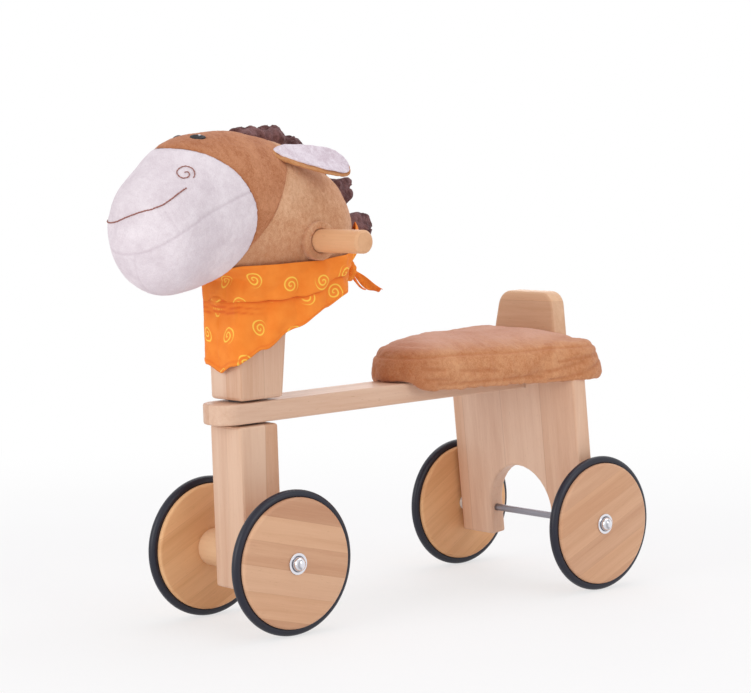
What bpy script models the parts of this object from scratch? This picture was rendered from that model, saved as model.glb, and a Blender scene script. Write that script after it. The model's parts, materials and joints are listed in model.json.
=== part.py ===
"""A toddler's ride-on horse: a wooden beam between a steered front post and an arched rear leg,
four wooden wheels with rubber tyres, a padded seat, and a stuffed horse head on the neck post.

Metres, +Z up, floor at z = 0. The horse faces -Y and its left side is +X.
"""

import math

import bmesh
import bpy
from mathutils import Vector
from mathutils.bvhtree import BVHTree

# Fits and overall layout
GAP = 0.0003  # left between pieces that touch
TYRE_RADIUS = 0.075
WHEELBASE = 0.400
FRONT_AXLE_Y = -0.1640  # puts the whole toy's length evenly about y = 0
LEAN = math.radians(1.3)  # the beam rises to the rear, and the post stands square to it
STEERING_LIMIT = math.radians(40)

# Wheels, measured along the axle from the wheel's middle
WHEEL_WIDTH = 0.018
DISC_RADIUS = 0.0675
TYRE_SECTION = 0.005  # radius of the rubber ring's section
TYRE_RING = TYRE_RADIUS - TYRE_SECTION
GROOVE = TYRE_SECTION + 0.00045
WHEEL_STEPS = 36
FRONT_TRACK = 0.0738  # from the middle plane to the middle of a front wheel
REAR_TRACK = 0.1161
AXLE_RADIUS = 0.004
BUSH_RADIUS = 0.006
CAP_RADIUS = 0.012
CAP_HEIGHT = 0.0092
CAP_POCKET = 0.0068
ROD_STEPS = 16
SCREW_SHANK = 0.0020
SCREW_HEAD = 0.0042

# Beam and steering joint. Heights here and below are above the front axle.
BEAM_WIDTH = 0.050
BEAM_THICKNESS = 0.0215
BEAM_TOP = 0.161
BEAM_BOTTOM = BEAM_TOP - BEAM_THICKNESS
BEAM_FRONT = -0.044
BEAM_REAR = 0.426
BEAM_END_RADIUS = 0.022
WASHER_THICKNESS = 0.0018
WASHER_RADIUS = 0.0153  # inside the stop pin's circle
JOINT_SPACE = WASHER_THICKNESS + 2 * GAP
SHAFT_RADIUS = 0.006
SHAFT_BOTTOM = 0.085
SHAFT_TOP = 0.250
BUSH_WALL = 0.003
STOP_RADIUS = 0.0025
STOP_ARM = 0.0185  # from the steering axis to the stop pin
STOP_DEPTH = 0.007
PIN_RADIUS = 0.003
PIN_FRONT = -0.012
LOWER_PIN_HEIGHT = 0.105
UPPER_PIN_HEIGHT = 0.215

# Posts
POST_WIDTH = 0.0532
POST_DEPTH = 0.0490
POST_BOTTOM = -0.034
POST_TOP = BEAM_BOTTOM - JOINT_SPACE
NECK_BOTTOM = BEAM_TOP + JOINT_SPACE
SPACER_RADIUS = 0.020
HANDLE_RADIUS = 0.012
HANDLE_HALF = 0.140
HANDLE_Y = 0.0554
HANDLE_HEIGHT = 0.3244

# Rear leg, in a frame at the rear axle that leans with the board
LEG_LEAN = math.radians(5.5)
LEG_HALF = 0.1024
LEG_THICKNESS = 0.020
LEG_FOOT = -0.0307
ARCH_RADIUS = 0.0505
ARCH_CENTRE = 0.006

# Seat
SEAT_FRONT_Y = 0.2476
SEAT_FRONT_RADIUS = 0.058
SEAT_REAR_X = 0.071
SEAT_REAR_Y = 0.4005
SEAT_REAR_RADIUS = 0.038
BOARD_INSET = 0.0095
BOARD_THICKNESS = 0.012
BOARD_BOTTOM = BEAM_TOP + GAP
BOARD_TOP = BOARD_BOTTOM + BOARD_THICKNESS
CUSHION_TOP = 0.2112
CUSHION_HEM = 0.149
FRONT_LIFT = 0.002  # the narrow front of the pad is a little fuller
BACKREST_Y = 0.400
BACKREST_THICKNESS = 0.020
BACKREST_TOP = 0.2465
BACKREST_BASE_HALF = 0.055
BACKREST_TOP_HALF = 0.0455
BACKREST_CORNER = 0.019
BACKREST_RAKE = math.tan(math.radians(5))

# The stuffed head: ellipsoids as (centre, radii), and the two curved seams as (y, height, radius)
MUZZLE = ((0, -0.0906, 0.3418), (0.068, 0.0491, 0.0659))
BRIDGE = ((0, -0.0471, 0.3673), (0.064, 0.0738, 0.0700))
BROW = ((0, -0.0167, 0.3656), (0.069, 0.072, 0.0744))
CROWN = ((0, 0.0300, 0.3820), (0.060, 0.045, 0.0480))
NAPE = ((0, 0.0656, 0.3317), (0.064, 0.070, 0.0760))
THROAT = ((0, 0.0120, 0.2700), (0.036, 0.041, 0.0220))
FACE_FORM = (MUZZLE, BRIDGE, BROW, CROWN)
NECK_FORM = (BROW, CROWN, NAPE, THROAT)
MUZZLE_SEAM = (-0.0988, 0.3479, 0.0774)
JAW_SEAM = (-0.1849, 0.4807, 0.2260)

WOOD_COLOUR = (0.72, 0.49, 0.31)
PLUSH_COLOUR = (0.55, 0.28, 0.13)
MANE_COLOUR = (0.14, 0.065, 0.06)
SCARF_COLOUR = (0.90, 0.22, 0.02)


def clear_scene():
    for old in list(bpy.data.objects):
        bpy.data.objects.remove(old)


def material(name, colour, roughness, metallic=0.0):
    made = bpy.data.materials.new(name)
    made.use_nodes = True
    shader = made.node_tree.nodes["Principled BSDF"]
    shader.inputs["Base Color"].default_value = (*colour, 1)
    shader.inputs["Roughness"].default_value = roughness
    shader.inputs["Metallic"].default_value = metallic
    return made


def empty(name, parent=None, location=(0, 0, 0), lean=0.0):
    made = bpy.data.objects.new(name, None)
    bpy.context.scene.collection.objects.link(made)
    made.parent = parent
    made.location = location
    made.rotation_euler.x = lean
    return made


def place(name, bm, finish, parent, location=(0, 0, 0), smooth=True):
    """Makes an object of a finished bmesh, its faces turned outwards, under its parent empty."""
    bmesh.ops.recalc_face_normals(bm, faces=bm.faces)
    if bm.calc_volume(signed=True) < 0:
        bmesh.ops.reverse_faces(bm, faces=bm.faces)
    mesh = bpy.data.meshes.new(name)
    bm.to_mesh(mesh)
    bm.free()
    if smooth:
        mesh.shade_smooth()
        mesh.set_sharp_from_angle(angle=math.radians(35))
    made = bpy.data.objects.new(name, mesh)
    bpy.context.scene.collection.objects.link(made)
    made.parent = parent
    made.location = location
    if finish:
        mesh.materials.append(finish)
    else:
        made.hide_render = True
        made.display_type = "WIRE"
    return made


def turned(name, profile, finish, parent, location=(0, 0, 0), steps=ROD_STEPS, axis="X"):
    """Turns a closed outline of (distance along the axis, radius) points about the X, Y or Z axis."""
    lays = {"X": ((1, 0, 0), (0, 0, 1)), "Y": ((0, 1, 0), (0, 0, 1)), "Z": ((0, 0, 1), (0, -1, 0))}
    along, out = (Vector(way) for way in lays[axis])
    bm = bmesh.new()
    ring = [bm.verts.new(along * far + out * radius) for far, radius in profile]
    edges = [bm.edges.new((ring[i - 1], ring[i])) for i in range(len(ring))]
    bmesh.ops.spin(bm, geom=ring + edges, cent=(0, 0, 0), axis=along, angle=math.tau, steps=steps)
    bmesh.ops.remove_doubles(bm, verts=bm.verts, dist=1e-6)
    return place(name, bm, finish, parent, location)


def rod(name, start, end, radius, finish, parent, location=(0, 0, 0), axis="X", ease=0.0, steps=ROD_STEPS):
    """A solid rod between two distances along its axis, with eased ends if asked."""
    profile = [(start, 0), (start, radius - ease), (start + ease, radius)]
    profile += [(end - ease, radius), (end, radius - ease), (end, 0)]
    if not ease:
        profile = [(start, 0), (start, radius), (end, radius), (end, 0)]
    return turned(name, profile, finish, parent, location, steps, axis)


def sleeve(name, start, end, inner, outer, finish, parent, location=(0, 0, 0), axis="X", steps=ROD_STEPS):
    profile = [(start, inner), (start, outer), (end, outer), (end, inner)]
    return turned(name, profile, finish, parent, location, steps, axis)


def block(name, low, high, finish, parent, location=(0, 0, 0)):
    bm = bmesh.new()
    bmesh.ops.create_cube(bm, size=1)
    for vert in bm.verts:
        vert.co = [low[i] if vert.co[i] < 0 else high[i] for i in range(3)]
    return place(name, bm, finish, parent, location, smooth=False)


def slab(name, outline, thickness, finish, parent, axis="Y", location=(0, 0, 0)):
    """Extrudes an outline by thickness: its points are (x, z) for axis Y, (y, z) for X and (x, y) for Z."""
    put = {"X": lambda p: (0, *p), "Y": lambda p: (p[0], 0, p[1]), "Z": lambda p: (*p, 0)}[axis]
    way = Vector({"X": (1, 0, 0), "Y": (0, 1, 0), "Z": (0, 0, 1)}[axis]) * thickness
    bm = bmesh.new()
    face = bm.faces.new([bm.verts.new(put(point)) for point in outline])
    moved = bmesh.ops.extrude_face_region(bm, geom=[face])["geom"]
    bmesh.ops.translate(bm, verts=[v for v in moved if isinstance(v, bmesh.types.BMVert)], vec=way)
    return place(name, bm, finish, parent, location, smooth=False)


def ease_edges(made, width, segments=2):
    bevel = made.modifiers.new("eased_edges", "BEVEL")
    bevel.width = width
    bevel.segments = segments
    bevel.limit_method = "ANGLE"
    bevel.angle_limit = math.radians(40)


def cut(made, *cutters, operation="DIFFERENCE"):
    for cutter in cutters:
        step = made.modifiers.new(cutter.name, "BOOLEAN")
        step.operation = operation
        step.object = cutter
        step.solver = "EXACT"


def arc(centre, radius, start, end, steps):
    """Points on an arc, from one angle to another in degrees."""
    angles = [math.radians(start + (end - start) * i / steps) for i in range(steps + 1)]
    return [(centre[0] + radius * math.cos(a), centre[1] + radius * math.sin(a)) for a in angles]


def swollen(name, balls, finish, parent, rings=14, segments=24, grow=0.0, pole="Z"):
    """A stuffed form: the tight skin round one or more ellipsoids, with its blends softened."""
    softness = 0.005
    bm = bmesh.new()
    bmesh.ops.create_uvsphere(bm, u_segments=segments, v_segments=rings, radius=1)
    for vert in bm.verts:
        way = vert.co.normalized()
        if pole == "Y":
            way = Vector((way.x, -way.z, way.y))
        spots = []
        for centre, radii in balls:
            radii = [radius + grow for radius in radii]
            reach = Vector([way[i] * radii[i] for i in range(3)])
            spot = Vector(centre) + Vector([reach[i] * radii[i] for i in range(3)]) / reach.length
            spots.append((way.dot(Vector(centre)) + reach.length, spot))
        most = max(far for far, spot in spots)
        weights = [math.exp((far - most) / softness) for far, spot in spots]
        total = sum((spot * weight for (far, spot), weight in zip(spots, weights)), Vector())
        vert.co = total / sum(weights)
    return place(name, bm, finish, parent)


def seam_cutter(name, seam, parent, grow=0.0):
    """The cylinder across the head whose side is one of its curved seams."""
    width = 0.09
    y, height, radius = seam
    return rod(name, -width, width, radius + grow, None, parent, (0, y, height), steps=48)


def make_wheel(side, end, parent, location, wood, rubber, nylon, lean=0.0):
    hub = empty(f"wheel_{end}_{side}_axis", parent, location, lean)
    half = WHEEL_WIDTH / 2
    groove_half = math.degrees(math.acos((TYRE_RING - DISC_RADIUS) / GROOVE))
    groove = arc((0, TYRE_RING), GROOVE, 270 - groove_half, 270 + groove_half, 3)
    rounded = [(-half, 0.0628), (-half + 0.0014, 0.0663), (-half + 0.0036, DISC_RADIUS)]
    profile = [(-half, BUSH_RADIUS + GAP), *rounded, *groove]
    profile += [(-far, radius) for far, radius in reversed(rounded)] + [(half, BUSH_RADIUS + GAP)]
    turned(f"wheel_disc_{end}_{side}", profile, wood, hub, steps=WHEEL_STEPS)
    ring = [(y, x) for x, y in arc((TYRE_RING, 0), TYRE_SECTION, 0, 315, 7)]
    turned(f"tyre_{end}_{side}", ring, rubber, hub, steps=WHEEL_STEPS)
    sleeve(f"wheel_bush_{end}_{side}", -half, half, AXLE_RADIUS + GAP, BUSH_RADIUS, nylon, hub)


def make_axle(end, parent, location, track, chrome, steel):
    """The steel rod with its two push caps, and the outer faces that the caps sit on."""
    outer = track + WHEEL_WIDTH / 2 + GAP
    rod(f"{end}_axle", -outer - CAP_POCKET + GAP, outer + CAP_POCKET - GAP, AXLE_RADIUS, steel, parent,
        location)
    bore = AXLE_RADIUS + GAP
    rim = CAP_RADIUS
    profile = [(CAP_POCKET, 0), (CAP_POCKET, bore), (0, bore), (0, rim), (0.0012, rim), (0.0020, 0.0092)]
    profile += [(0.0052, 0.0082), (0.0080, 0.0050), (CAP_HEIGHT, 0)]
    for side, sign in (("left", 1), ("right", -1)):
        outline = [(sign * far, radius) for far, radius in profile]
        spot = (sign * outer, location[1], location[2])
        turned(f"{end}_cap_{side}", outline, chrome, parent, spot, steps=18)


def seat_outline(inset, count=44):
    """Evenly spaced points round the saddle shape: the tight line round three circles, drawn in by inset."""
    circles = [((0, SEAT_FRONT_Y), SEAT_FRONT_RADIUS), ((SEAT_REAR_X, SEAT_REAR_Y), SEAT_REAR_RADIUS),
               ((-SEAT_REAR_X, SEAT_REAR_Y), SEAT_REAR_RADIUS)]
    line = []
    for i in range(180):
        angle = math.tau * i / 180 - math.pi / 2
        way = Vector((math.cos(angle), math.sin(angle)))
        centre, radius = max(circles, key=lambda circle: way.dot(Vector(circle[0])) + circle[1])
        line.append(Vector(centre) + way * (radius - inset))
    line.append(line[0])
    steps = [(b - a).length for a, b in zip(line, line[1:])]
    points, walked, at = [], 0.0, 0
    for i in range(count):
        target = sum(steps) * i / count
        while walked + steps[at] < target:
            walked += steps[at]
            at += 1
        points.append(line[at].lerp(line[at + 1], (target - walked) / steps[at]))
    return points


def make_cushion(finish, parent):
    """A padded cap over the seat board: hem, bulging side, drawn-in seam and crown, hollow for the board."""
    centre = Vector((0, (SEAT_FRONT_Y + SEAT_REAR_Y) / 2 + 0.01))
    walls = [(0.0092, BOARD_TOP + GAP), (0.0092, CUSHION_HEM), (0.0056, CUSHION_HEM), (0.0010, 0.157),
             (0.0000, 0.167), (0.0030, 0.1820), (0.0080, 0.1900), (0.0130, 0.1955)]
    crown = [(0.80, 0.2020), (0.52, 0.2085), (0.25, 0.2110)]
    bm = bmesh.new()
    rings = [[bm.verts.new((*p, height)) for p in seat_outline(inset)] for inset, height in walls]
    edge = seat_outline(walls[-1][0])
    for scale, height in crown:
        rings.append([bm.verts.new((*centre.lerp(p, scale), height)) for p in edge])
    for low, high in zip(rings, rings[1:]):
        for i in range(len(low)):
            bm.faces.new((low[i - 1], low[i], high[i], high[i - 1]))
    for ring, height in ((rings[0], BOARD_TOP + GAP), (rings[-1], CUSHION_TOP)):
        middle = bm.verts.new((*centre, height))
        for i in range(len(ring)):
            bm.faces.new((ring[i - 1], ring[i], middle))
    for ring in rings[4:]:
        for vert in ring:
            vert.co.z += FRONT_LIFT * max(0, min(1, (0.275 - vert.co.y) / 0.06))
    return place("seat_cushion", bm, finish, parent)


def screw(name, spot, length, finish, parent, rooms_for):
    """A countersunk wood screw, head up or (if length is negative) head down, and its holes."""
    way = 1 if length > 0 else -1
    for label, grow in ((name, 0.0), (f"{name}_room", GAP)):
        shank, rim = SCREW_SHANK + grow, SCREW_HEAD + grow
        profile = [(grow, 0), (grow, rim), (-0.0028 - grow, shank), (0.003 - abs(length), shank)]
        profile += [(-abs(length) - grow, 0.0005 + grow), (-abs(length) - grow, 0)]
        outline = [(way * far, radius) for far, radius in profile]
        made = turned(label, outline, finish if label == name else None, parent, spot, 12, "Z")
    for piece in rooms_for:
        cut(piece, made)


def pebble(name, centre, axes, finish, parent, segments=12, rings=8, shape=None):
    """An ellipsoid on three axis vectors, its unit points first passed through shape if there is one."""
    bm = bmesh.new()
    bmesh.ops.create_uvsphere(bm, u_segments=segments, v_segments=rings, radius=1)
    for vert in bm.verts:
        x, y, z = shape(*vert.co) if shape else vert.co
        vert.co = Vector(centre) + axes[0] * x + axes[1] * y + axes[2] * z
    return place(name, bm, finish, parent)


def make_eye(side, sign, finish, parent, rooms):
    """A low padded oval on the top of the face, where the stitching raises it."""
    out = Vector((sign * 0.30, -0.22, 0.93)).normalized()
    across = Vector((0.80 * sign, 0.60, 0)) - out * out.dot(Vector((0.80 * sign, 0.60, 0)))
    axes = (across.normalized() * 0.0082, out.cross(across).normalized() * 0.0050, out * 0.0024)
    eye = pebble(f"eye_{side}", (sign * 0.0178, -0.0567, 0.4316), axes, finish, parent, 14)
    cut(eye, *rooms)


def make_ear(side, sign, finish, parent, rooms):
    """A leaf with a wide round tip, cupped on its white side, which points back and a little out."""
    base, tip = Vector((0.043, 0.016, 0.4160)), Vector((0.074, 0.0935, 0.3950))
    along = (tip - base).normalized()
    face = Vector((0.62, -0.12, 0.74))
    face = (face - along * face.dot(along)).normalized()
    axes = [face.cross(along) * 0.021, face * 0.0055, (tip - base) / 2]
    for axis in axes:
        axis.x *= sign
    middle = (base + tip) / 2

    def leaf(x, y, z):
        wide = x * (0.92 + 0.34 * z + 0.20 * z * z)
        return wide, y + 0.9 * wide * wide, z

    ear = pebble(f"ear_{side}", (sign * middle.x, middle.y, middle.z), axes, finish, parent, 16, 8, leaf)
    cut(ear, *rooms)


def make_tuft(number, y, height, angle, length, tall, finish, parent, rooms):
    """One ruffled lobe of the mane, standing on the ridge and leaning back by angle. Returns its room."""
    lean = math.radians(angle)

    def ruffled(x, y, z):
        turn = math.atan2(y, x)
        swell = 1 + 0.08 * math.cos(3 * turn + 2 * number)
        return x * swell, y * swell, z * (1 - 0.10 * math.cos(2 * turn + number))

    for label, grow in ((f"mane_tuft_{number}", 0.0), (f"mane_room_{number}", GAP)):
        axes = (Vector((0.0135 + grow, 0, 0)),
                Vector((0, math.cos(lean), -math.sin(lean))) * (length + grow),
                Vector((0, math.sin(lean), math.cos(lean))) * (tall + grow))
        room = pebble(label, (0, y, height), axes, None if grow else finish, parent, shape=ruffled)
        if not grow:
            cut(room, *rooms)
    return room


def between(stations, angle):
    """Reads a value off (angle, value) stations, eased from one to the next."""
    for (a, low), (b, high) in zip(stations, stations[1:]):
        if angle <= b:
            t = (angle - a) / (b - a)
            t = t * t * (3 - 2 * t)
            return low + (high - low) * t
    return stations[-1][1]


# Degrees from the front round to the back, with heights above the axle and distances from the neck's middle
SCARF_MIDDLE_Y = 0.030
SCARF_TOP = [(0, 0.284), (20, 0.291), (40, 0.300), (60, 0.303), (110, 0.304), (140, 0.308), (158, 0.340),
             (180, 0.322)]
SCARF_BOTTOM = [(0, 0.192), (22, 0.200), (53, 0.216), (92, 0.236), (122, 0.255), (137, 0.2685), (180, 0.277)]
SCARF_REACH = [(0, 0.0545), (27, 0.0594), (60, 0.0460), (92, 0.0510), (122, 0.0690), (137, 0.0850),
               (180, 0.1030)]
SCARF_CLEARANCE = 0.0022
SCARF_CLOTH = 0.0012


def make_scarf(neck_form, finish, parent, rooms):
    """The neckerchief: a band that lies on the neck, hangs free below it and comes to a point in front."""
    around, rows = 56, 5
    mesh = neck_form.data
    tree = BVHTree.FromPolygons([v.co for v in mesh.vertices], [p.vertices for p in mesh.polygons])
    grid = []
    for i in range(around):
        degrees = 360 * i / around
        angle = min(degrees, 360 - degrees)
        out = Vector((math.sin(math.radians(degrees)), -math.cos(math.radians(degrees)), 0))
        top, bottom = between(SCARF_TOP, angle), between(SCARF_BOTTOM, angle)
        reach = between(SCARF_REACH, angle)
        column = []
        for row in range(rows + 1):
            drop = row / rows
            height = top + (bottom - top) * drop
            middle = Vector((0, SCARF_MIDDLE_Y, height))
            hit = tree.ray_cast(middle + out * 0.3, -out)[0]
            neck = (hit - middle).length + SCARF_CLEARANCE if hit else 0
            fold = 0.0016 * drop * (1 + math.sin(math.radians(9 * degrees) + 5 * drop))
            column.append((middle, out, max(neck, reach) + fold))
        grid.append(column)
    bm = bmesh.new()
    skins = []
    for extra in (0, SCARF_CLOTH):
        skins.append([[bm.verts.new(m + o * (r + extra)) for m, o, r in column] for column in grid])
    inner, outer = skins
    for i in range(around):
        for row in range(rows):
            bm.faces.new((inner[i - 1][row], inner[i][row], inner[i][row + 1], inner[i - 1][row + 1]))
            bm.faces.new((outer[i - 1][row], outer[i][row], outer[i][row + 1], outer[i - 1][row + 1]))
        for row in (0, rows):
            bm.faces.new((inner[i - 1][row], inner[i][row], outer[i][row], outer[i - 1][row]))
    scarf = place("scarf", bm, finish, parent)
    cut(scarf, *rooms)
    return scarf


def make_tail(side, sign, finish, parent):
    """A loose end of the neckerchief, a flat tapering strip that leaves the knot and curls at its tip."""
    steps, thickness, length = 8, 0.0016, 0.0255
    bm = bmesh.new()
    rings = []
    for i in range(steps + 1):
        s = i / steps
        drop = 0.030 * s - 0.010 * s * s
        spot = Vector((sign * (0.004 + 0.010 * s), 0.1525 + length * s, 0.2840 - drop))
        half = 0.0030 + 0.0026 * math.sin(math.pi * min(1, s * 1.1)) + 0.001 * s
        twist = math.radians(20 + 50 * s) * sign
        wide = Vector((math.sin(twist), 0, math.cos(twist))) * half
        thick = Vector((math.cos(twist), 0, -math.sin(twist))) * thickness / 2
        corners = [wide * a + thick * b for a, b in ((1, 1), (-1, 1), (-1, -1), (1, -1))]
        rings.append([bm.verts.new(spot + corner) for corner in corners])
    for low, high in zip(rings, rings[1:]):
        for i in range(4):
            bm.faces.new((low[i - 1], low[i], high[i], high[i - 1]))
    bm.faces.new(rings[0])
    bm.faces.new(rings[-1])
    return place(f"scarf_tail_{side}", bm, finish, parent)


clear_scene()
wood = material("beech", WOOD_COLOUR, 0.45)
rubber = material("tyre_rubber", (0.03, 0.03, 0.04), 0.6)
steel = material("steel", (0.45, 0.45, 0.47), 0.35, 1.0)
chrome = material("chrome", (0.85, 0.85, 0.87), 0.1, 1.0)
nylon = material("nylon", (0.85, 0.85, 0.83), 0.4)
plush = material("brown_plush", PLUSH_COLOUR, 0.95)
white_plush = material("white_plush", (0.82, 0.78, 0.80), 0.95)
mane = material("mane_plush", MANE_COLOUR, 0.95)
thread = material("black_thread", (0.01, 0.01, 0.01), 0.5)
cloth = material("scarf_cotton", SCARF_COLOUR, 0.85)

vehicle = empty("vehicle", None, (0, FRONT_AXLE_Y, TYRE_RADIUS), LEAN)
steering = empty("steering_axis", vehicle)
rear_axle_spot = (0, FRONT_AXLE_Y + WHEELBASE, TYRE_RADIUS)
leg_frame = empty("rear_leg_frame", None, rear_axle_spot, LEG_LEAN)

# Wheels, axles and caps
for side, sign in (("left", 1), ("right", -1)):
    make_wheel(side, "front", steering, (sign * FRONT_TRACK, 0, 0), wood, rubber, nylon, -LEAN)
    rear_spot = (sign * REAR_TRACK, rear_axle_spot[1], rear_axle_spot[2])
    make_wheel(side, "rear", None, rear_spot, wood, rubber, nylon)
make_axle("front", steering, (0, 0, 0), FRONT_TRACK, chrome, steel)
make_axle("rear", None, rear_axle_spot, REAR_TRACK, chrome, steel)
axle_bore = rod("front_axle_bore", -0.1, 0.1, AXLE_RADIUS + GAP, None, steering)
rear_axle_bore = rod("rear_axle_bore", -0.2, 0.2, AXLE_RADIUS + GAP, None, leg_frame)
for side, sign in (("left", 1), ("right", -1)):
    inner = sign * (POST_WIDTH / 2 + GAP)
    outer = sign * (FRONT_TRACK - WHEEL_WIDTH / 2 - 0.0005)
    ease = sign * 0.0015
    profile = [(inner, AXLE_RADIUS + GAP), (inner, SPACER_RADIUS - 0.0015), (inner + ease, SPACER_RADIUS)]
    profile += [(outer - ease, SPACER_RADIUS), (outer, SPACER_RADIUS - 0.0015), (outer, AXLE_RADIUS + GAP)]
    turned(f"hub_spacer_{side}", profile, wood, steering, steps=24)
    near, far = sign * (LEG_HALF + GAP), sign * (REAR_TRACK - WHEEL_WIDTH / 2 - 0.0005)
    sleeve(f"rear_washer_{side}", near, far, AXLE_RADIUS + GAP, 0.009, nylon, None, rear_axle_spot)

# Steering joint
shaft = rod("steering_shaft", SHAFT_BOTTOM, SHAFT_TOP, SHAFT_RADIUS, steel, steering, axis="Z", ease=0.001)
shaft_bore = rod("shaft_bore", SHAFT_BOTTOM - GAP, SHAFT_TOP + GAP, SHAFT_RADIUS + GAP, None, steering,
                 axis="Z")
sleeve("steering_bush", BEAM_BOTTOM, BEAM_TOP, SHAFT_RADIUS + GAP, SHAFT_RADIUS + BUSH_WALL, nylon, vehicle,
       axis="Z", steps=20)
bush_bore = rod("bush_bore", BEAM_BOTTOM - 0.01, BEAM_TOP + 0.01, SHAFT_RADIUS + BUSH_WALL + GAP, None,
                vehicle, axis="Z", steps=20)
washers = {}
for name, low in (("lower", POST_TOP + GAP), ("upper", BEAM_TOP + GAP)):
    washers[name] = sleeve(f"steering_washer_{name}", low, low + WASHER_THICKNESS, SHAFT_RADIUS + GAP,
                           WASHER_RADIUS, nylon, steering, axis="Z", steps=32)
stop_end = BEAM_BOTTOM + STOP_DEPTH - 0.001
stop_start, stop_spot = POST_TOP - 0.012, (0, -STOP_ARM, 0)
rod("steering_stop_pin", stop_start, stop_end, STOP_RADIUS, steel, steering, stop_spot, "Z", steps=12)
stop_bore = rod("stop_pin_bore", stop_start - GAP, BEAM_BOTTOM + 0.002, STOP_RADIUS + GAP, None, steering,
                stop_spot, "Z", steps=12)
pins = {}
for name, height, back in (("lower", LOWER_PIN_HEIGHT, 0.0243), ("upper", UPPER_PIN_HEIGHT, 0.0360)):
    rod(f"shaft_pin_{name}", PIN_FRONT, back, PIN_RADIUS, steel, steering, (0, 0, height), "Y", steps=12)
    pins[name] = rod(f"pin_bore_{name}", PIN_FRONT - GAP, 0.06, PIN_RADIUS + GAP, None, steering,
                     (0, 0, height), "Y", steps=12)
cut(shaft, pins["lower"], pins["upper"])

# The curved slot under the beam, which the stop pin runs in
reach = math.degrees(STEERING_LIMIT)
slot_half, slot_steps = STOP_RADIUS + 0.0004, 12
slot_line = arc((0, 0), STOP_ARM + slot_half, -90 - reach, -90 + reach, slot_steps)
for turn, away in ((-90 + reach, 1), (-90 - reach, -1)):
    end = (STOP_ARM * math.cos(math.radians(turn)), STOP_ARM * math.sin(math.radians(turn)))
    if away == 1:
        slot_line += arc(end, slot_half, turn, turn + 180, 4)[1:-1]
        slot_line += arc((0, 0), STOP_ARM - slot_half, turn, -90 - reach, slot_steps)
    else:
        slot_line += arc(end, slot_half, turn + 180, turn + 360, 4)[1:-1]
stop_slot = slab("stop_slot", slot_line, STOP_DEPTH + 0.002, None, vehicle, "Z", (0, 0, BEAM_BOTTOM - 0.002))

# Posts
half = POST_WIDTH / 2
lower_post = block("lower_post", (-half, -POST_DEPTH / 2, POST_BOTTOM), (half, POST_DEPTH / 2, POST_TOP),
                   wood, steering)
ease_edges(lower_post, 0.003)
cut(lower_post, axle_bore, shaft_bore, stop_bore, pins["lower"])
neck_side = [(-0.022, NECK_BOTTOM), (0.0325, NECK_BOTTOM), (0.0395, 0.226), (0.051, 0.262), (0.075, 0.312),
             (0.075, 0.345), (0.064, 0.354), (0.020, 0.354), (0.004, 0.335), (-0.022, 0.285)]
neck_post = slab("neck_post", neck_side, POST_WIDTH, wood, steering, "X", (-half, 0, 0))
ease_edges(neck_post, 0.0035)
handle_spot = (0, HANDLE_Y, HANDLE_HEIGHT)
handle_bore = rod("handle_bore", -0.2, 0.2, HANDLE_RADIUS + GAP, None, steering, handle_spot, steps=24)
cut(neck_post, shaft_bore, pins["upper"], handle_bore)
rod("handle_bar", -HANDLE_HALF, HANDLE_HALF, HANDLE_RADIUS, wood, steering, handle_spot, ease=0.0025,
    steps=24)

# Beam, with its round front end
side = BEAM_WIDTH / 2
corner = side - BEAM_END_RADIUS
beam_line = arc((-corner, BEAM_FRONT + BEAM_END_RADIUS), BEAM_END_RADIUS, 180, 270, 8)
beam_line += arc((corner, BEAM_FRONT + BEAM_END_RADIUS), BEAM_END_RADIUS, 270, 360, 8)
beam_line += [(side, BEAM_REAR), (-side, BEAM_REAR)]
beam = slab("beam", beam_line, BEAM_THICKNESS, wood, vehicle, "Z", (0, 0, BEAM_BOTTOM))
ease_edges(beam, 0.002)

# Rear leg: an arched board, notched for the beam and cut off level under the seat board
leg_line = [(-LEG_HALF, LEG_FOOT), (-ARCH_RADIUS, LEG_FOOT), *arc((0, ARCH_CENTRE), ARCH_RADIUS, 180, 0, 16),
            (ARCH_RADIUS, LEG_FOOT), (LEG_HALF, LEG_FOOT), (LEG_HALF, 0.20), (-LEG_HALF, 0.20)]
rear_leg = slab("rear_leg", leg_line, LEG_THICKNESS, wood, leg_frame, "Y", (0, -LEG_THICKNESS / 2, 0))
ease_edges(rear_leg, 0.0025)
above_beam = block("above_beam", (-0.15, 0.3, BEAM_TOP), (0.15, 0.5, 0.3), None, vehicle)
beam_room = block("beam_room", (-side - GAP, -0.1, BEAM_BOTTOM - GAP), (side + GAP, 0.5, BEAM_TOP + GAP),
                  None, vehicle)
cut(rear_leg, above_beam, beam_room, rear_axle_bore)

# Seat board and backrest
board_line = [tuple(point) for point in seat_outline(BOARD_INSET)]
board = slab("seat_board", board_line, BOARD_THICKNESS, wood, vehicle, "Z", (0, 0, BOARD_BOTTOM))
ease_edges(board, 0.002, 1)
back_line = [(-BACKREST_BASE_HALF, BOARD_TOP + GAP), (BACKREST_BASE_HALF, BOARD_TOP + GAP)]
corner_x = BACKREST_TOP_HALF - BACKREST_CORNER
back_line += arc((corner_x, BACKREST_TOP - BACKREST_CORNER), BACKREST_CORNER, 8, 90, 6)
back_line += arc((-corner_x, BACKREST_TOP - BACKREST_CORNER), BACKREST_CORNER, 90, 172, 6)
backrest = slab("backrest", back_line, BACKREST_THICKNESS, wood, vehicle, "Y", (0, BACKREST_Y, 0))
for vert in backrest.data.vertices:
    vert.co.y += (vert.co.z - BOARD_TOP) * BACKREST_RAKE
ease_edges(backrest, 0.003)

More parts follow.
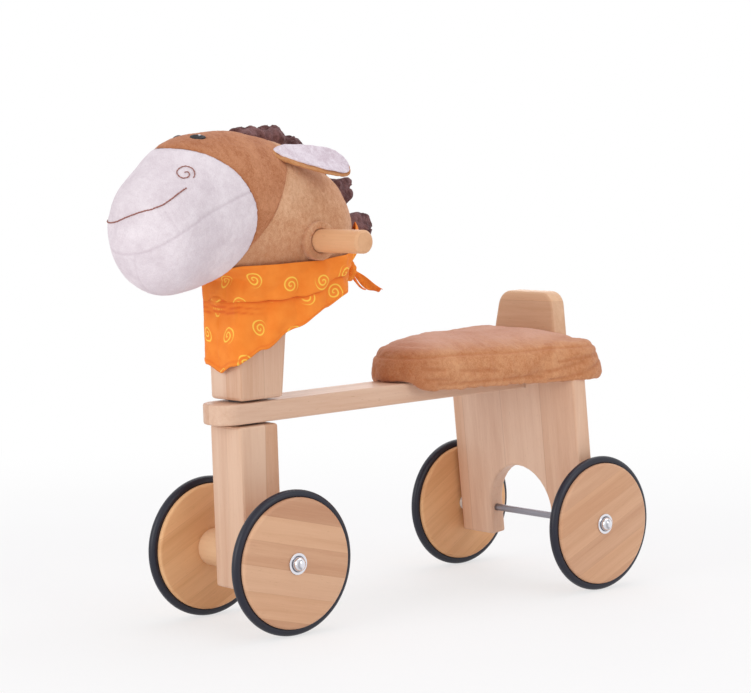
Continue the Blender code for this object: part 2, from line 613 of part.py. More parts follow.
# Cushion, cut away for the beam, the leg's shoulders and the backrest
cushion = make_cushion(plush, vehicle)
leg_room = block("leg_room", (-LEG_HALF - GAP, -LEG_THICKNESS / 2 - GAP, 0), (LEG_HALF + GAP,
                 LEG_THICKNESS / 2 + GAP, 0.1725), None, leg_frame)
back_room = block("back_room", (-BACKREST_BASE_HALF - 0.001, BACKREST_Y - 0.001, BOARD_TOP + GAP),
                  (BACKREST_BASE_HALF + 0.001, 0.5, 0.4), None, vehicle)
for vert in back_room.data.vertices:
    vert.co.y += (vert.co.z - BOARD_TOP) * BACKREST_RAKE
cut(cushion, beam_room, leg_room, back_room)

# Hidden screws: two hold the seat board to the leg's shoulders, two come up through beam and board
leg_y = WHEELBASE - (BEAM_TOP - 0.012) * math.tan(LEG_LEAN - LEAN)
for side_name, sign in (("left", 1), ("right", -1)):
    screw(f"seat_screw_{side_name}", (sign * 0.072, leg_y, BOARD_TOP - 0.0005), 0.035, steel, vehicle,
          (board, rear_leg))
    screw(f"backrest_screw_{side_name}", (sign * 0.015, BACKREST_Y + 0.0105, BEAM_BOTTOM + 0.0005), -0.060,
          steel, vehicle, (beam, board, backrest))
cut(beam, bush_bore, stop_slot)

# The stuffed head in three panels: white muzzle, brown face and brown neck
face_room = swollen("face_room", FACE_FORM, None, steering, grow=GAP, pole="Y")
neck_form = swollen("neck_form", NECK_FORM, None, steering, 16)
neck_room = swollen("neck_room", NECK_FORM, None, steering, 16, grow=GAP)
muzzle_line = seam_cutter("muzzle_line", MUZZLE_SEAM, steering)
muzzle_room = seam_cutter("muzzle_room", MUZZLE_SEAM, steering, GAP)
jaw_line = seam_cutter("jaw_line", JAW_SEAM, steering)
jaw_room = seam_cutter("jaw_room", JAW_SEAM, steering, GAP)
post_room = slab("post_room", neck_side, POST_WIDTH + 2 * GAP, None, steering, "X", (-half - GAP, 0, 0))
muzzle = swollen("muzzle_plush", FACE_FORM, white_plush, steering, pole="Y")
cut(muzzle, muzzle_line, operation="INTERSECT")
face = swollen("face_plush", FACE_FORM, plush, steering, pole="Y")
cut(face, jaw_line, operation="INTERSECT")
cut(face, muzzle_room, post_room)
neck = swollen("neck_plush", NECK_FORM, plush, steering, 16)
cut(neck, jaw_room, muzzle_room, post_room, handle_bore)

# Ears, eyes, mane and the plush rings round the handlebar
for side_name, sign in (("left", 1), ("right", -1)):
    make_ear(side_name, sign, plush, steering, (face_room, neck_room))
    make_eye(side_name, sign, thread, steering, (face_room,))
    near, far, bore = 0.056, 0.0700, HANDLE_RADIUS + GAP
    ring = [(near, bore), (near, 0.0185), (far - 0.005, 0.0190), (far - 0.0015, 0.0178), (far, 0.0152),
            (far - 0.001, bore)]
    ring = [(sign * x, radius) for x, radius in ring]
    collar = turned(f"handle_collar_{side_name}", ring, plush, steering, handle_spot, steps=24)
    cut(collar, neck_room)
# Each tuft as (y, height, lean in degrees, half length, half height)
tufts = [(0.017, 0.4315, -2, 0.019, 0.0105), (0.046, 0.4250, 6, 0.020, 0.0168),
         (0.070, 0.4130, 26, 0.019, 0.0180), (0.099, 0.3970, 42, 0.018, 0.0190),
         (0.125, 0.3680, 76, 0.017, 0.0265), (0.147, 0.3335, 95, 0.015, 0.0285)]
rooms = [neck_room, face_room]
for number, tuft in enumerate(tufts, 1):
    rooms.append(make_tuft(number, *tuft, mane, steering, rooms))

# Neckerchief with its knot and loose ends behind
make_scarf(neck_form, cloth, steering, (rooms[-1],))
knot_axes = (Vector((0.013, 0, 0)), Vector((0, 0.0070, 0)), Vector((0, 0, 0.0120)))
pebble("scarf_knot", (0, 0.1450, 0.2870), knot_axes, cloth, steering, 14)
for side_name, sign in (("left", 1), ("right", -1)):
    make_tail(side_name, sign, cloth, steering)
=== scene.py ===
# %% [markdown]
# # A ride-on horse for a toddler
# The toy's frame, wheels and joints are already made. This lesson dresses them: it gives the wood
# its strips and grain, and makes every stuffed or sewn piece again as cloth and plush. Nothing that
# moves is changed here, so each new piece is told which part of the toy it rides on.

# %% Load the toy
import json
import math

import bpy
import numpy as np
from mathutils import Matrix, Vector, noise
from mathutils.bvhtree import BVHTree


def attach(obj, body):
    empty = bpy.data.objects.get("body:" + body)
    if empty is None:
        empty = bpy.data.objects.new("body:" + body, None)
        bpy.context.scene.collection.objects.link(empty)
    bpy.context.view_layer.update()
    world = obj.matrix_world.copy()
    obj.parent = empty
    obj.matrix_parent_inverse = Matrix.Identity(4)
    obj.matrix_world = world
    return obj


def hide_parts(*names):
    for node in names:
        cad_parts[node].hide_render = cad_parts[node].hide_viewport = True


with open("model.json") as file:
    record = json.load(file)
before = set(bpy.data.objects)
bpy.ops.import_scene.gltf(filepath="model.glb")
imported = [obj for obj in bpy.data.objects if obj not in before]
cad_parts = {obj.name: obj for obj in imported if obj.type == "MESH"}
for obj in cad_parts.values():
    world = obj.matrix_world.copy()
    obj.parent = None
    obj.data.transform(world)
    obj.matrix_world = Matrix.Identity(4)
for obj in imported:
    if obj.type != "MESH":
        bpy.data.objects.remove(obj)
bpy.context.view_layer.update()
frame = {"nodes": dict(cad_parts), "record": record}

# %% [markdown]
# The head, the neck post and the front wheels stand square to the beam, which rises 1.3 degrees
# towards the seat. Each piece could be modelled with that lean in it. It is easier to model them
# upright about the front axle and to tip the finished mesh, so `TIP` does that once for each piece.

# %% Where the steered pieces stand
AXLE_Y, AXLE_HEIGHT = -0.1640, 0.075
REAR_AXLE_Y = 0.2360
LEAN = math.radians(1.3)
TIP = Matrix.Translation((0, AXLE_Y, AXLE_HEIGHT)) @ Matrix.Rotation(LEAN, 4, "X")
print("the steered pieces lean by", round(math.degrees(LEAN), 2), "degrees")

# %% [markdown]
# The camera stands where the photographer stood: in front of the toy and to its left, a little above
# the seat. It could be placed by eye. Its numbers come instead from solving the photograph's
# perspective from the four round wheels, which is closer than the eye can get. A long lens keeps the
# wheels nearly the same size.

# %% Camera
yaw, pitch, roll = math.radians(50.3), math.radians(4.53), math.radians(0.88)
ahead = Vector((-math.sin(yaw) * math.cos(pitch), math.cos(yaw) * math.cos(pitch), -math.sin(pitch)))
right = Vector((math.cos(yaw), math.sin(yaw), 0))
down = ahead.cross(right)
right, down = (right * math.cos(roll) + down * math.sin(roll), -right * math.sin(roll) + down * math.cos(roll))
lens = bpy.data.cameras.new("camera")
lens.lens, lens.sensor_width, lens.sensor_fit = 105.26, 36, "HORIZONTAL"
camera = bpy.data.objects.new("camera", lens)
bpy.context.collection.objects.link(camera)
stand = (1.82945, -1.50708, 0.46923)
camera.matrix_world = Matrix((
    (right.x, -down.x, -ahead.x, stand[0]), (right.y, -down.y, -ahead.y, stand[1]),
    (right.z, -down.z, -ahead.z, stand[2]), (0, 0, 0, 1)))
bpy.context.scene.camera = camera
bpy.context.scene.view_settings.view_transform = "Standard"
print("camera", [round(v, 3) for v in camera.location])

# %% [markdown]
# A finish is a small network of shader nodes. It could be drawn in the shader editor, or written
# node by node, which takes many lines. Here `Expression` wraps a node's output and lets Python's own
# signs add the maths nodes, so `1 - mask` is one Math node. `Finish` holds the material and makes
# every other kind of node in one way.

# %% Shader maths as Python
class Expression:
    def __init__(self, finish, socket):
        self.finish, self.socket = finish, socket

    def maths(self, operation, *values):
        return self.finish.node("ShaderNodeMath", {"operation": operation}, dict(enumerate(values)))[0]

    def __add__(self, other):
        return self.maths("ADD", self, other)

    def __radd__(self, other):
        return self.maths("ADD", other, self)

    def __sub__(self, other):
        return self.maths("SUBTRACT", self, other)

    def __rsub__(self, other):
        return self.maths("SUBTRACT", other, self)

    def __mul__(self, other):
        return self.maths("MULTIPLY", self, other)

    def __rmul__(self, other):
        return self.maths("MULTIPLY", other, self)

    def __truediv__(self, other):
        return self.maths("DIVIDE", self, other)

    def __gt__(self, other):
        return self.maths("GREATER_THAN", self, other)

    def own(self, operation):
        """A sum that needs this value alone, such as its square root."""
        return self.maths(operation, self)

    def between(self, low, high):
        """0 below low, 1 above high and eased in the middle."""
        kind = {"interpolation_type": "SMOOTHSTEP"}
        return self.finish.node("ShaderNodeMapRange", kind, {"Value": self, "From Min": low, "From Max": high})[0]


class Node:
    def __init__(self, finish, node):
        self.finish, self.node = finish, node

    def __getitem__(self, key):
        return Expression(self.finish, self.node.outputs[key])


class Finish:
    """One material. Its shader's sockets are set with set(), and the rest of its nodes with node()."""

    def __init__(self, name):
        self.material = bpy.data.materials.new(name)
        self.material.use_nodes = True
        self.tree = self.material.node_tree
        self.shader = self.tree.nodes["Principled BSDF"]
        self.where = self.node("ShaderNodeTexCoord")["Object"]

    def feed(self, socket, value):
        """Links an expression to a socket, or writes a plain value into it."""
        if isinstance(value, Expression):
            self.tree.links.new(value.socket, socket)
        elif isinstance(value, tuple) and len(value) == 3 and socket.type == "RGBA":
            socket.default_value = (*value, 1)
        else:
            socket.default_value = value

    def node(self, kind, settings=None, values=None):
        made = self.tree.nodes.new(kind)
        for key, value in (settings or {}).items():
            setattr(made, key, value)
        for key, value in (values or {}).items():
            self.feed(made.inputs[key], value)
        return Node(self, made)

    def set(self, **values):
        """Sets or links the shader's own sockets, named with _ for a space, and hands back the material."""
        for key, value in values.items():
            self.feed(self.shader.inputs[key.replace("_", " ")], value)
        return self.material

    def mix(self, first, second, factor):
        made = self.node("ShaderNodeMix", {"data_type": "RGBA"})
        for index, value in ((0, factor), (6, first), (7, second)):
            self.feed(made.node.inputs[index], value)
        return made[2]

    def placed(self, where=None, scale=(1, 1, 1), turn=(0, 0, 0), move=(0, 0, 0)):
        kind = {"Vector": where or self.where, "Scale": scale, "Rotation": turn, "Location": move}
        return self.node("ShaderNodeMapping", None, kind)["Vector"]

    def speckle(self, scale, detail=2.0, where=None, **extra):
        values = {"Vector": where or self.where, "Scale": scale, "Detail": detail}
        values.update({key.title(): value for key, value in extra.items()})
        return self.node("ShaderNodeTexNoise", None, values)["Fac"]

    def axes(self, where=None):
        parts = self.node("ShaderNodeSeparateXYZ", None, {"Vector": where or self.where})
        return parts["X"], parts["Y"], parts["Z"]

    def joined(self, x, y, z):
        return self.node("ShaderNodeCombineXYZ", None, {0: x, 1: y, 2: z})["Vector"]

    def noted(self, name):
        """A number that was noted at each point of the mesh."""
        return self.node("ShaderNodeAttribute", {"attribute_name": name})["Fac"]

    def relief(self, height, depth, strength):
        values = {"Height": height, "Distance": depth, "Strength": strength}
        return self.node("ShaderNodeBump", None, values)["Normal"]


def colour(r, g, b):
    """A colour as it is seen on a screen, from 0 to 255, as the shader's linear numbers."""
    return tuple((c / 255 / 12.92) if c < 11 else ((c / 255 + 0.055) / 1.055) ** 2.4 for c in (r, g, b))


print("middle grey, 128 on a screen, is", round(colour(128, 128, 128)[0], 3), "to the shader")

# %% [markdown]
# The room is plain: a pale floor that takes the toy's shadow, a white backdrop and four soft lamps.
# Stronger lamps would make a white room too, but the pale wood would burn out. So the backdrop is
# white only to the camera, in reflections and through clear things, and the light that falls on the
# toy stays at a plain level. The brightest lamp stands on the camera's left, so the faces towards
# the horse's nose are lighter than its side. `started` is how every piece of this lesson begins: it
# lets go of all that is selected, adds one of Blender's primitives, and puts its size into its mesh.

# %% Floor, backdrop and lamps
def let_go():
    for piece in bpy.context.selected_objects:
        piece.select_set(False)


def hold(piece):
    let_go()
    piece.select_set(True)
    bpy.context.view_layer.objects.active = piece


def added(name):
    """The object just made, named, with its place and size put into its mesh."""
    piece = bpy.context.object
    piece.name = piece.data.name = name
    hold(piece)
    bpy.ops.object.transform_apply(location=True, rotation=True, scale=True)
    return piece


def started(name, operator, **settings):
    """A primitive from one of Blender's operators, as the start of a piece."""
    let_go()
    operator(**settings)
    return added(name)


floor = started("floor", bpy.ops.mesh.primitive_plane_add, size=24)
paper = Finish("floor_paper")
tone = paper.mix(colour(236, 234, 235), colour(243, 242, 243), paper.speckle(3.0))
paper.set(Base_Color=tone, Roughness=0.9, Specular_IOR_Level=0.1)
sight = paper.node("ShaderNodeLightPath")
seen = (sight["Is Camera Ray"] + sight["Is Glossy Ray"] + sight["Is Transmission Ray"]).between(0.0, 1.0)
glow = paper.node("ShaderNodeEmission", None, {"Color": (1.0, 1.0, 1.0), "Strength": 1.0})
away = paper.node("ShaderNodeVectorMath", {"operation": "LENGTH"}, {0: paper.where})["Value"]
# The floor keeps a little shade near the toy and is wholly white from 1.5 m on
WHITE_NEARBY = 0.64
whiter = away.between(0.45, 1.5) * 0.36 + WHITE_NEARBY
pale = paper.node("ShaderNodeMixShader", None, {0: seen * whiter})
paper.tree.links.new(paper.shader.outputs[0], pale.node.inputs[1])
paper.tree.links.new(glow.node.outputs[0], pale.node.inputs[2])
paper.tree.links.new(pale.node.outputs[0], paper.tree.nodes["Material Output"].inputs["Surface"])
floor.data.materials.append(paper.material)

world = bpy.data.worlds.new("room")
bpy.context.scene.world = world
world.use_nodes = True
sky = world.node_tree
sight = sky.nodes.new("ShaderNodeLightPath")
LIGHT_ON_THE_TOY, SEEN_AS_WHITE = 0.67, 1.0
level = sky.nodes.new("ShaderNodeMapRange")
level.inputs["To Min"].default_value, level.inputs["To Max"].default_value = LIGHT_ON_THE_TOY, SEEN_AS_WHITE
value = level.inputs["Value"]
for kind in ("Is Camera Ray", "Is Glossy Ray", "Is Transmission Ray"):
    adding = sky.nodes.new("ShaderNodeMath")
    sky.links.new(sight.outputs[kind], adding.inputs[0])
    adding.inputs[1].default_value = 0.0
    sky.links.new(adding.outputs[0], value)
    value = adding.inputs[1]
sky.links.new(level.outputs[0], sky.nodes["Background"].inputs["Strength"])
sky.nodes["Background"].inputs["Color"].default_value = (1, 1, 1, 1)


def lamp(name, place, size, watts, tint=(1, 1, 1)):
    """A round soft lamp that looks at the toy's middle."""
    light = bpy.data.lights.new(name, "AREA")
    light.shape, light.size, light.energy, light.color = "DISK", size, watts, tint
    made = bpy.data.objects.new(name, light)
    made.location = place
    made.rotation_euler = (Vector((0, 0, 0.25)) - Vector(place)).to_track_quat("-Z", "Y").to_euler()
    bpy.context.collection.objects.link(made)
    print(name, watts, "W")


lamp("lamp_by_the_nose", (0.15, -2.1, 0.8), 1.5, 13.8)
lamp("lamp_on_the_side", (2.2, 0.4, 1.1), 1.2, 8.4)
lamp("lamp_overhead", (0.0, 0.5, 2.2), 1.6, 11, (0.93, 0.92, 1.0))
lamp("lamp_behind", (-1.6, 1.4, 1.2), 1.2, 5)

# %% [markdown]
# The frame is made of pale hardwood boards that were glued up from strips, as a chopping board is.
# Each strip was cut from another place in the tree, so each has a tone of its own, and long fine
# grain runs along it. A picture of wood could be wrapped round each board, but it would repeat, and
# stretch over the ends. So the strips are counted off across the board, a tone is picked for each
# one, and the grain is noise that is stretched along the board. It goes right through, so every cut
# face shows the grain that belongs there.

# %% Wood
def coat(piece, finish):
    piece.data.materials.clear()
    piece.data.materials.append(finish)


# A step that gives each strip a tone unlike its neighbours'
NEXT_TONE = 0.618


def wood(name, pale, deep, turn, strip, move=(0, 0, 0), seed=0.0, contrast=1.0):
    """Wood whose grain runs along X after turn. strip says how wide its glued strips are along Y and Z."""
    made = Finish(name)
    along = made.placed(turn=turn, move=move)
    x, y, z = made.axes(along)
    drift = (made.speckle(5.0, 1.0, along) - 0.5) * 0.002
    over, under = (y + drift) / strip[0], (z + drift) / strip[1]
    number = over.own("FLOOR") + under.own("FLOOR") * 6.0
    tone = (number * NEXT_TONE + seed).own("FRACT")
    shifted = made.joined(x + tone * 3.1, y + tone * 0.7, z + tone)
    figure = made.speckle(1.0, 2.0, made.placed(shifted, scale=(3, 85, 60)), distortion=0.3)
    fine = made.speckle(1.0, 3.0, made.placed(shifted, scale=(22, 620, 420)), roughness=0.65)
    pore = made.speckle(1.0, 1.0, made.placed(shifted, scale=(130, 1500, 900)))
    seams = [(strips.own("FRACT") - 0.5).own("ABSOLUTE").between(0.488, 0.5) for strips in (over, under)]
    glue = made.node("ShaderNodeMath", {"operation": "MAXIMUM"}, dict(enumerate(seams)))[0]
    shade = (tone - 0.5) * 0.75 * contrast + (figure - 0.5) * 0.75 + (fine - 0.5) * 0.45 + 0.45
    body = made.mix(pale, deep, shade.between(0.0, 1.0))
    warm = made.mix(body, colour(230, 172, 120), (tone * 7.0).own("FRACT") * 0.20)
    flecks = made.mix(warm, colour(150, 98, 62), pore.between(0.68, 0.80) * 0.28)
    lined = made.mix(flecks, colour(160, 110, 76), glue * 0.30)
    return made.set(Base_Color=lined, Roughness=0.40 + figure * 0.16,
                    Normal=made.relief(fine * 0.6 + figure * 0.4, 0.00018, 0.5),
                    Specular_IOR_Level=0.35, Coat_Weight=0.12, Coat_Roughness=0.28)


QUARTER = math.radians(90)
ALONG, UPRIGHT, SIDEWAYS = (0, 0, QUARTER), (QUARTER, 0, QUARTER), (0, 0, 0)
PALE, DEEP = colour(228, 198, 176), colour(196, 150, 122)
ONE_PIECE = {"turn": SIDEWAYS, "strip": (9.0, 9.0), "move": (0, 1, 1)}
POST_STRIPS, POST_MOVE = (0.0295, 0.050), (0, -0.002, -AXLE_Y - 0.0045)
wood_for = {
    "beam": wood("beam_wood", PALE, DEEP, ALONG, (0.0275, 1.0), seed=0.38),
    "seat_board": wood("seat_board_wood", PALE, DEEP, ALONG, (0.030, 1.0)),
    "backrest": wood("backrest_wood", colour(232, 194, 160), colour(204, 156, 120), SIDEWAYS, (9.0, 0.040),
                     (0, 1, -0.2), 0.3, 0.5),
    "rear_leg": wood("leg_wood", colour(240, 208, 184), colour(214, 170, 142), UPRIGHT, (0.066, 1.0),
                     (0, 0.019, 0.5), 0.2, 0.6),
    "lower_post": wood("lower_post_wood", PALE, DEEP, UPRIGHT, POST_STRIPS, POST_MOVE, 0.85, 0.75),
    "neck_post": wood("neck_post_wood", PALE, DEEP, UPRIGHT, POST_STRIPS, POST_MOVE, 0.40, 0.75),
    "hub_spacer_left": wood("hub_wood", colour(224, 184, 146), colour(202, 154, 112), **ONE_PIECE),
    "handle_bar": wood("dowel_wood", colour(228, 178, 136), colour(200, 146, 104), **ONE_PIECE, seed=0.4),
}
wood_for["hub_spacer_right"] = wood_for["hub_spacer_left"]
for node, finish in wood_for.items():
    coat(frame["nodes"][node], finish)
print("wooden pieces:", len(wood_for))

# %% [markdown]
# The rods are drawn steel with faint marks along them, the push caps are bright chrome, the washers
# are white nylon with a dull skin, and the tyres are dark rubber. The steering washers are painted
# dark, as painted shade where they sit against the beam. One colour each would do from afar. A
# little noise in the roughness breaks up each reflection, and that is what tells a metal from a
# paint. The rods, pins and washers of the frame have the right shape already, so they only get their finish.

# %% Steel, chrome, nylon and rubber
drawn = Finish("drawn_steel")
marks = drawn.speckle(1.0, 3.0, drawn.placed(scale=(30, 1400, 1400)))
steel = drawn.set(Base_Color=drawn.mix(colour(120, 118, 128), colour(176, 174, 182), marks), Metallic=1.0,
                  Roughness=0.28 + marks * 0.2, Normal=drawn.relief(marks, 0.00006, 0.4))
bright = Finish("bright_chrome")
smears = bright.speckle(140.0, 2.0)
# The chrome is painted darker where the cap's attribute says so: painted reflection and shade
painted_reflection = bright.noted("crease")
plated = bright.mix(colour(222, 222, 230), colour(240, 240, 244), smears)
chrome = bright.set(Base_Color=bright.mix(plated, colour(70, 68, 76), painted_reflection), Metallic=1.0,
                    Roughness=0.05 + smears * 0.07)
dull = Finish("white_nylon")
nylon = dull.set(Base_Color=dull.mix(colour(226, 224, 220), colour(238, 236, 232), dull.speckle(90.0)),
                 Roughness=0.42 + dull.speckle(400.0) * 0.15)
black = Finish("tyre_rubber_skin")
bloom = black.speckle(55.0, 4.0)
scuff = black.speckle(700.0, 3.0)
rubber = black.set(Base_Color=black.mix(colour(8, 9, 24), colour(18, 20, 44), bloom * 0.7 + scuff * 0.3),
                   Roughness=0.30 + scuff * 0.2, Normal=black.relief(scuff, 0.0001, 0.4))
shade_painted_nylon = Finish("nylon_painted_dark")
dark_nylon = shade_painted_nylon.set(Base_Color=shade_painted_nylon.mix(colour(58, 54, 58), colour(84, 78, 80), shade_painted_nylon.speckle(90.0)),
                        Roughness=0.35 + shade_painted_nylon.speckle(400.0) * 0.15)
for row in frame["record"]["subparts"]:
    finish = {"steel": steel, "chrome": chrome, "nylon": nylon, "tyre_rubber": rubber}.get(row["material_slot"])
    # The steering washers are painted dark: painted shade where they sit against the beam
    if row["node"].startswith("steering_washer"):
        finish = dark_nylon
    if finish:
        coat(frame["nodes"][row["node"]], finish)
print("metal, nylon and rubber are on")

# %% [markdown]
# Most shaping is done with modifiers: bevels, cuts, a remesh, a thickness. They could stay live in
# the stack, but each later step needs the mesh that the last one made. So `press` applies each one
# at once. Where a shape has a formula, `points_of` reads all its points as one table, and
# `move_points` puts them back. `finished` ends each piece: it gives the piece its material, says
# which body of the toy it rides on, and which plain solids it stands for.

# %% Shaping and finishing a piece
def press(piece, kind, **settings):
    """Adds a modifier and applies it, so that what it makes is plain mesh."""
    hold(piece)
    modifier = piece.modifiers.new(kind.title(), kind)
    for key, value in settings.items():
        setattr(modifier, key, value)
    bpy.ops.object.modifier_apply(modifier=modifier.name)


def cut_with(piece, cutter, operation="DIFFERENCE"):
    press(piece, "BOOLEAN", object=cutter, operation=operation, solver="EXACT")
    bpy.data.objects.remove(cutter)


def twin(piece, name):
    """A copy with its own mesh."""
    other = piece.copy()
    other.data = piece.data.copy()
    other.name = other.data.name = name
    bpy.context.collection.objects.link(other)
    return other


def points_of(piece, what="co"):
    """The places of a piece's points, or with "normal" the ways in which its skin faces there."""
    flat = np.empty(3 * len(piece.data.vertices))
    source = piece.data.vertices if what == "co" else piece.data.vertex_normals
    source.foreach_get("co" if what == "co" else "vector", flat)
    return flat.reshape(-1, 3)


def move_points(piece, places):
    piece.data.vertices.foreach_set("co", np.asarray(places, float).ravel())
    piece.data.update()


def finished(piece, finish, body, *stands_for, slot=None, tipped=False, smooth=True):
    """Gives a piece its material and its body, and hides the solids that it stands for."""
    if tipped:
        piece.data.transform(TIP)
    if smooth:
        piece.data.shade_smooth()
    coat(piece, finish)
    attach(piece, body)
    if stands_for:
        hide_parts(*stands_for)
    print(f"{piece.name}: {len(piece.data.polygons)} faces")
    return piece

# %% [markdown]
# A wheel is a wooden disc turned on a lathe, with a groove round its rim in which a rubber ring is
# stretched. It could be spun from half of its section. Here it is cut as a turner cuts it, so that
# each step can be changed alone: a thick cylinder whose two rims are bevelled, the ring's own shape
# cut out of the rim, and a hole bored for the bush. It is modelled once, and each wheel gets a copy.

# %% Wheels
RING, SECTION, DISC, WIDE, BUSH, ROOM = 0.070, 0.005, 0.0675, 0.018, 0.006, 0.0003
LYING = (0, QUARTER, 0)
disc = started("wheel_disc", bpy.ops.mesh.primitive_cylinder_add, vertices=144, radius=DISC, depth=WIDE,
               rotation=LYING)
press(disc, "BEVEL", width=0.0034, segments=4, limit_method="ANGLE", angle_limit=math.radians(60))
cut_with(disc, started("ring_groove", bpy.ops.mesh.primitive_torus_add, major_radius=RING,
                       minor_radius=SECTION + ROOM, major_segments=144, minor_segments=20, rotation=LYING))
cut_with(disc, started("bore", bpy.ops.mesh.primitive_cylinder_add, vertices=32, radius=BUSH + ROOM, depth=0.1,
                       rotation=LYING))
tyre = started("wheel_tyre", bpy.ops.mesh.primitive_torus_add, major_radius=RING, minor_radius=SECTION,
               major_segments=160, minor_segments=28, rotation=LYING)
# All round its running edge the ring is worn a little flat
ring = points_of(tyre)
worn = np.clip((np.hypot(ring[:, 1], ring[:, 2]) - RING - 0.0035) / 0.0015, 0, 1)
ring[:, 0] *= 1 + 0.10 * worn
move_points(tyre, ring)

# Each wheel: where it stands, how steep its strips run, in degrees, and how much their tones differ
WHEELS = {"front_left": (0.0738, AXLE_Y, -13.5, 0.9), "front_right": (-0.0738, AXLE_Y, 27, 0.5),
          "rear_left": (0.1161, REAR_AXLE_Y, 24, 0.30), "rear_right": (-0.1161, REAR_AXLE_Y, 32, 0.5)}
WHEEL_TONES = {"left": (colour(222, 178, 144), colour(190, 138, 105)),
               "right": (colour(242, 192, 142), colour(214, 158, 108))}
for number, (place, (track, axle_y, steep, contrast)) in enumerate(WHEELS.items()):
    slope = math.radians(steep)
    level = -axle_y * math.sin(slope) + AXLE_HEIGHT * math.cos(slope)
    grain = wood(f"{place}_wheel_wood", *WHEEL_TONES[place.split("_")[1]], (-QUARTER - slope, -QUARTER, 0),
                 (0.0255, 1.0), (0, 0.008 - level, 0.5), 0.63 + 0.37 * number, contrast)
    turned = twin(disc, f"{place}_wheel_disc")
    turned.data.transform(Matrix.Translation((track, axle_y, AXLE_HEIGHT)))
    finished(turned, grain, f"{place}_wheel", f"wheel_disc_{place}", slot="beech", smooth=False)
    hold(turned)
    bpy.ops.object.shade_smooth_by_angle(angle=math.radians(30))
    stretched = twin(tyre, f"{place}_wheel_tyre")
    stretched.data.transform(Matrix.Translation((track, axle_y, AXLE_HEIGHT)))
    finished(stretched, rubber, f"{place}_wheel", f"tyre_{place}", slot="tyre_rubber")
bpy.data.objects.remove(disc)
bpy.data.objects.remove(tyre)

# %% [markdown]
# The caps are pressed from thin sheet and driven onto the rod's ends: a flat flange with a dome in
# its middle. They could be squashed balls, but the step from flange to dome is what catches the
# light. So a low cylinder's top is drawn in and pulled up a few times, and a subdivision surface
# rounds the result. A dark ring at the step and a dark spot on the front of the dome are noted in an
# attribute, and the chrome is painted darker there, as painted reflection and shade.

# %% Push caps
def push_cap():
    cap = started("push_cap", bpy.ops.mesh.primitive_cylinder_add, vertices=32, radius=0.0112, depth=0.0012,
                  location=(0, 0, 0.0006))
    bpy.ops.object.mode_set(mode="EDIT")
    bpy.ops.mesh.select_mode(type="FACE")
    bpy.ops.mesh.select_all(action="DESELECT")
    bpy.ops.object.mode_set(mode="OBJECT")
    for face in cap.data.polygons:
        face.select = face.normal.z > 0.9
    bpy.ops.object.mode_set(mode="EDIT")
    for draw_in, rise, narrow in ((0.0024, 0.0, 1), (0.0004, -0.0003, 1), (0.0006, 0.0016, 0.97),
                                  (0.0, 0.0028, 0.90), (0.0, 0.0022, 0.66), (0.0, 0.0009, 0.42)):
        if draw_in:
            bpy.ops.mesh.inset(thickness=draw_in, depth=0)
        if rise:
            bpy.ops.mesh.extrude_region_move(TRANSFORM_OT_translate={"value": (0, 0, rise)})
            bpy.ops.transform.resize(value=(narrow, narrow, 1))
    bpy.ops.object.mode_set(mode="OBJECT")
    press(cap, "BEVEL", width=0.0003, segments=2, limit_method="ANGLE", angle_limit=math.radians(40))
    press(cap, "SUBSURF", levels=2, render_levels=2)
    x, y, z = points_of(cap).T
    reach = np.hypot(x, y)
    # Painted reflection: a dark ring at the step from flange to dome, and a dark spot on the dome's front half
    painted_dark_reflection = 0.8 * np.exp(-((reach - 0.0080) / 0.0006) ** 2)
    painted_dark_reflection = painted_dark_reflection + 0.55 * np.exp(-((reach - 0.0042) / 0.0012) ** 2) * (y < 0)
    cap.data.attributes.new("crease", "FLOAT", "POINT").data.foreach_set("value", np.clip(painted_dark_reflection, 0, 1))
    return cap


SIGNS = {"left": 1, "right": -1}
cap = push_cap()
for place, (track, axle_y, _, _) in WHEELS.items():
    end, side = place.split("_")
    sign = SIGNS[side]
    driven = twin(cap, f"{place}_cap")
    driven.data.transform(Matrix.Rotation(sign * QUARTER, 4, "Y"))
    driven.data.transform(Matrix.Translation((track + sign * (WIDE / 2 + 0.0003), axle_y, AXLE_HEIGHT)))
    finished(driven, chrome, "steering" if end == "front" else "frame", f"{end}_cap_{side}", slot="chrome")
bpy.data.objects.remove(cap)

# %% [markdown]
# Plush is a knitted backing with a short dense pile. From a step away the single hairs don't show,
# but the pile does: brushed one way it looks pale, brushed the other way dark, and its edge against
# the light is soft. Hair could be grown on every piece, but it is slow and is no part of the mesh.
# So the finish mixes two tones by noise of three sizes, its relief is fine and rough, and a sheen
# lifts its edges. Each stuffed piece also gets small lumps in its mesh.

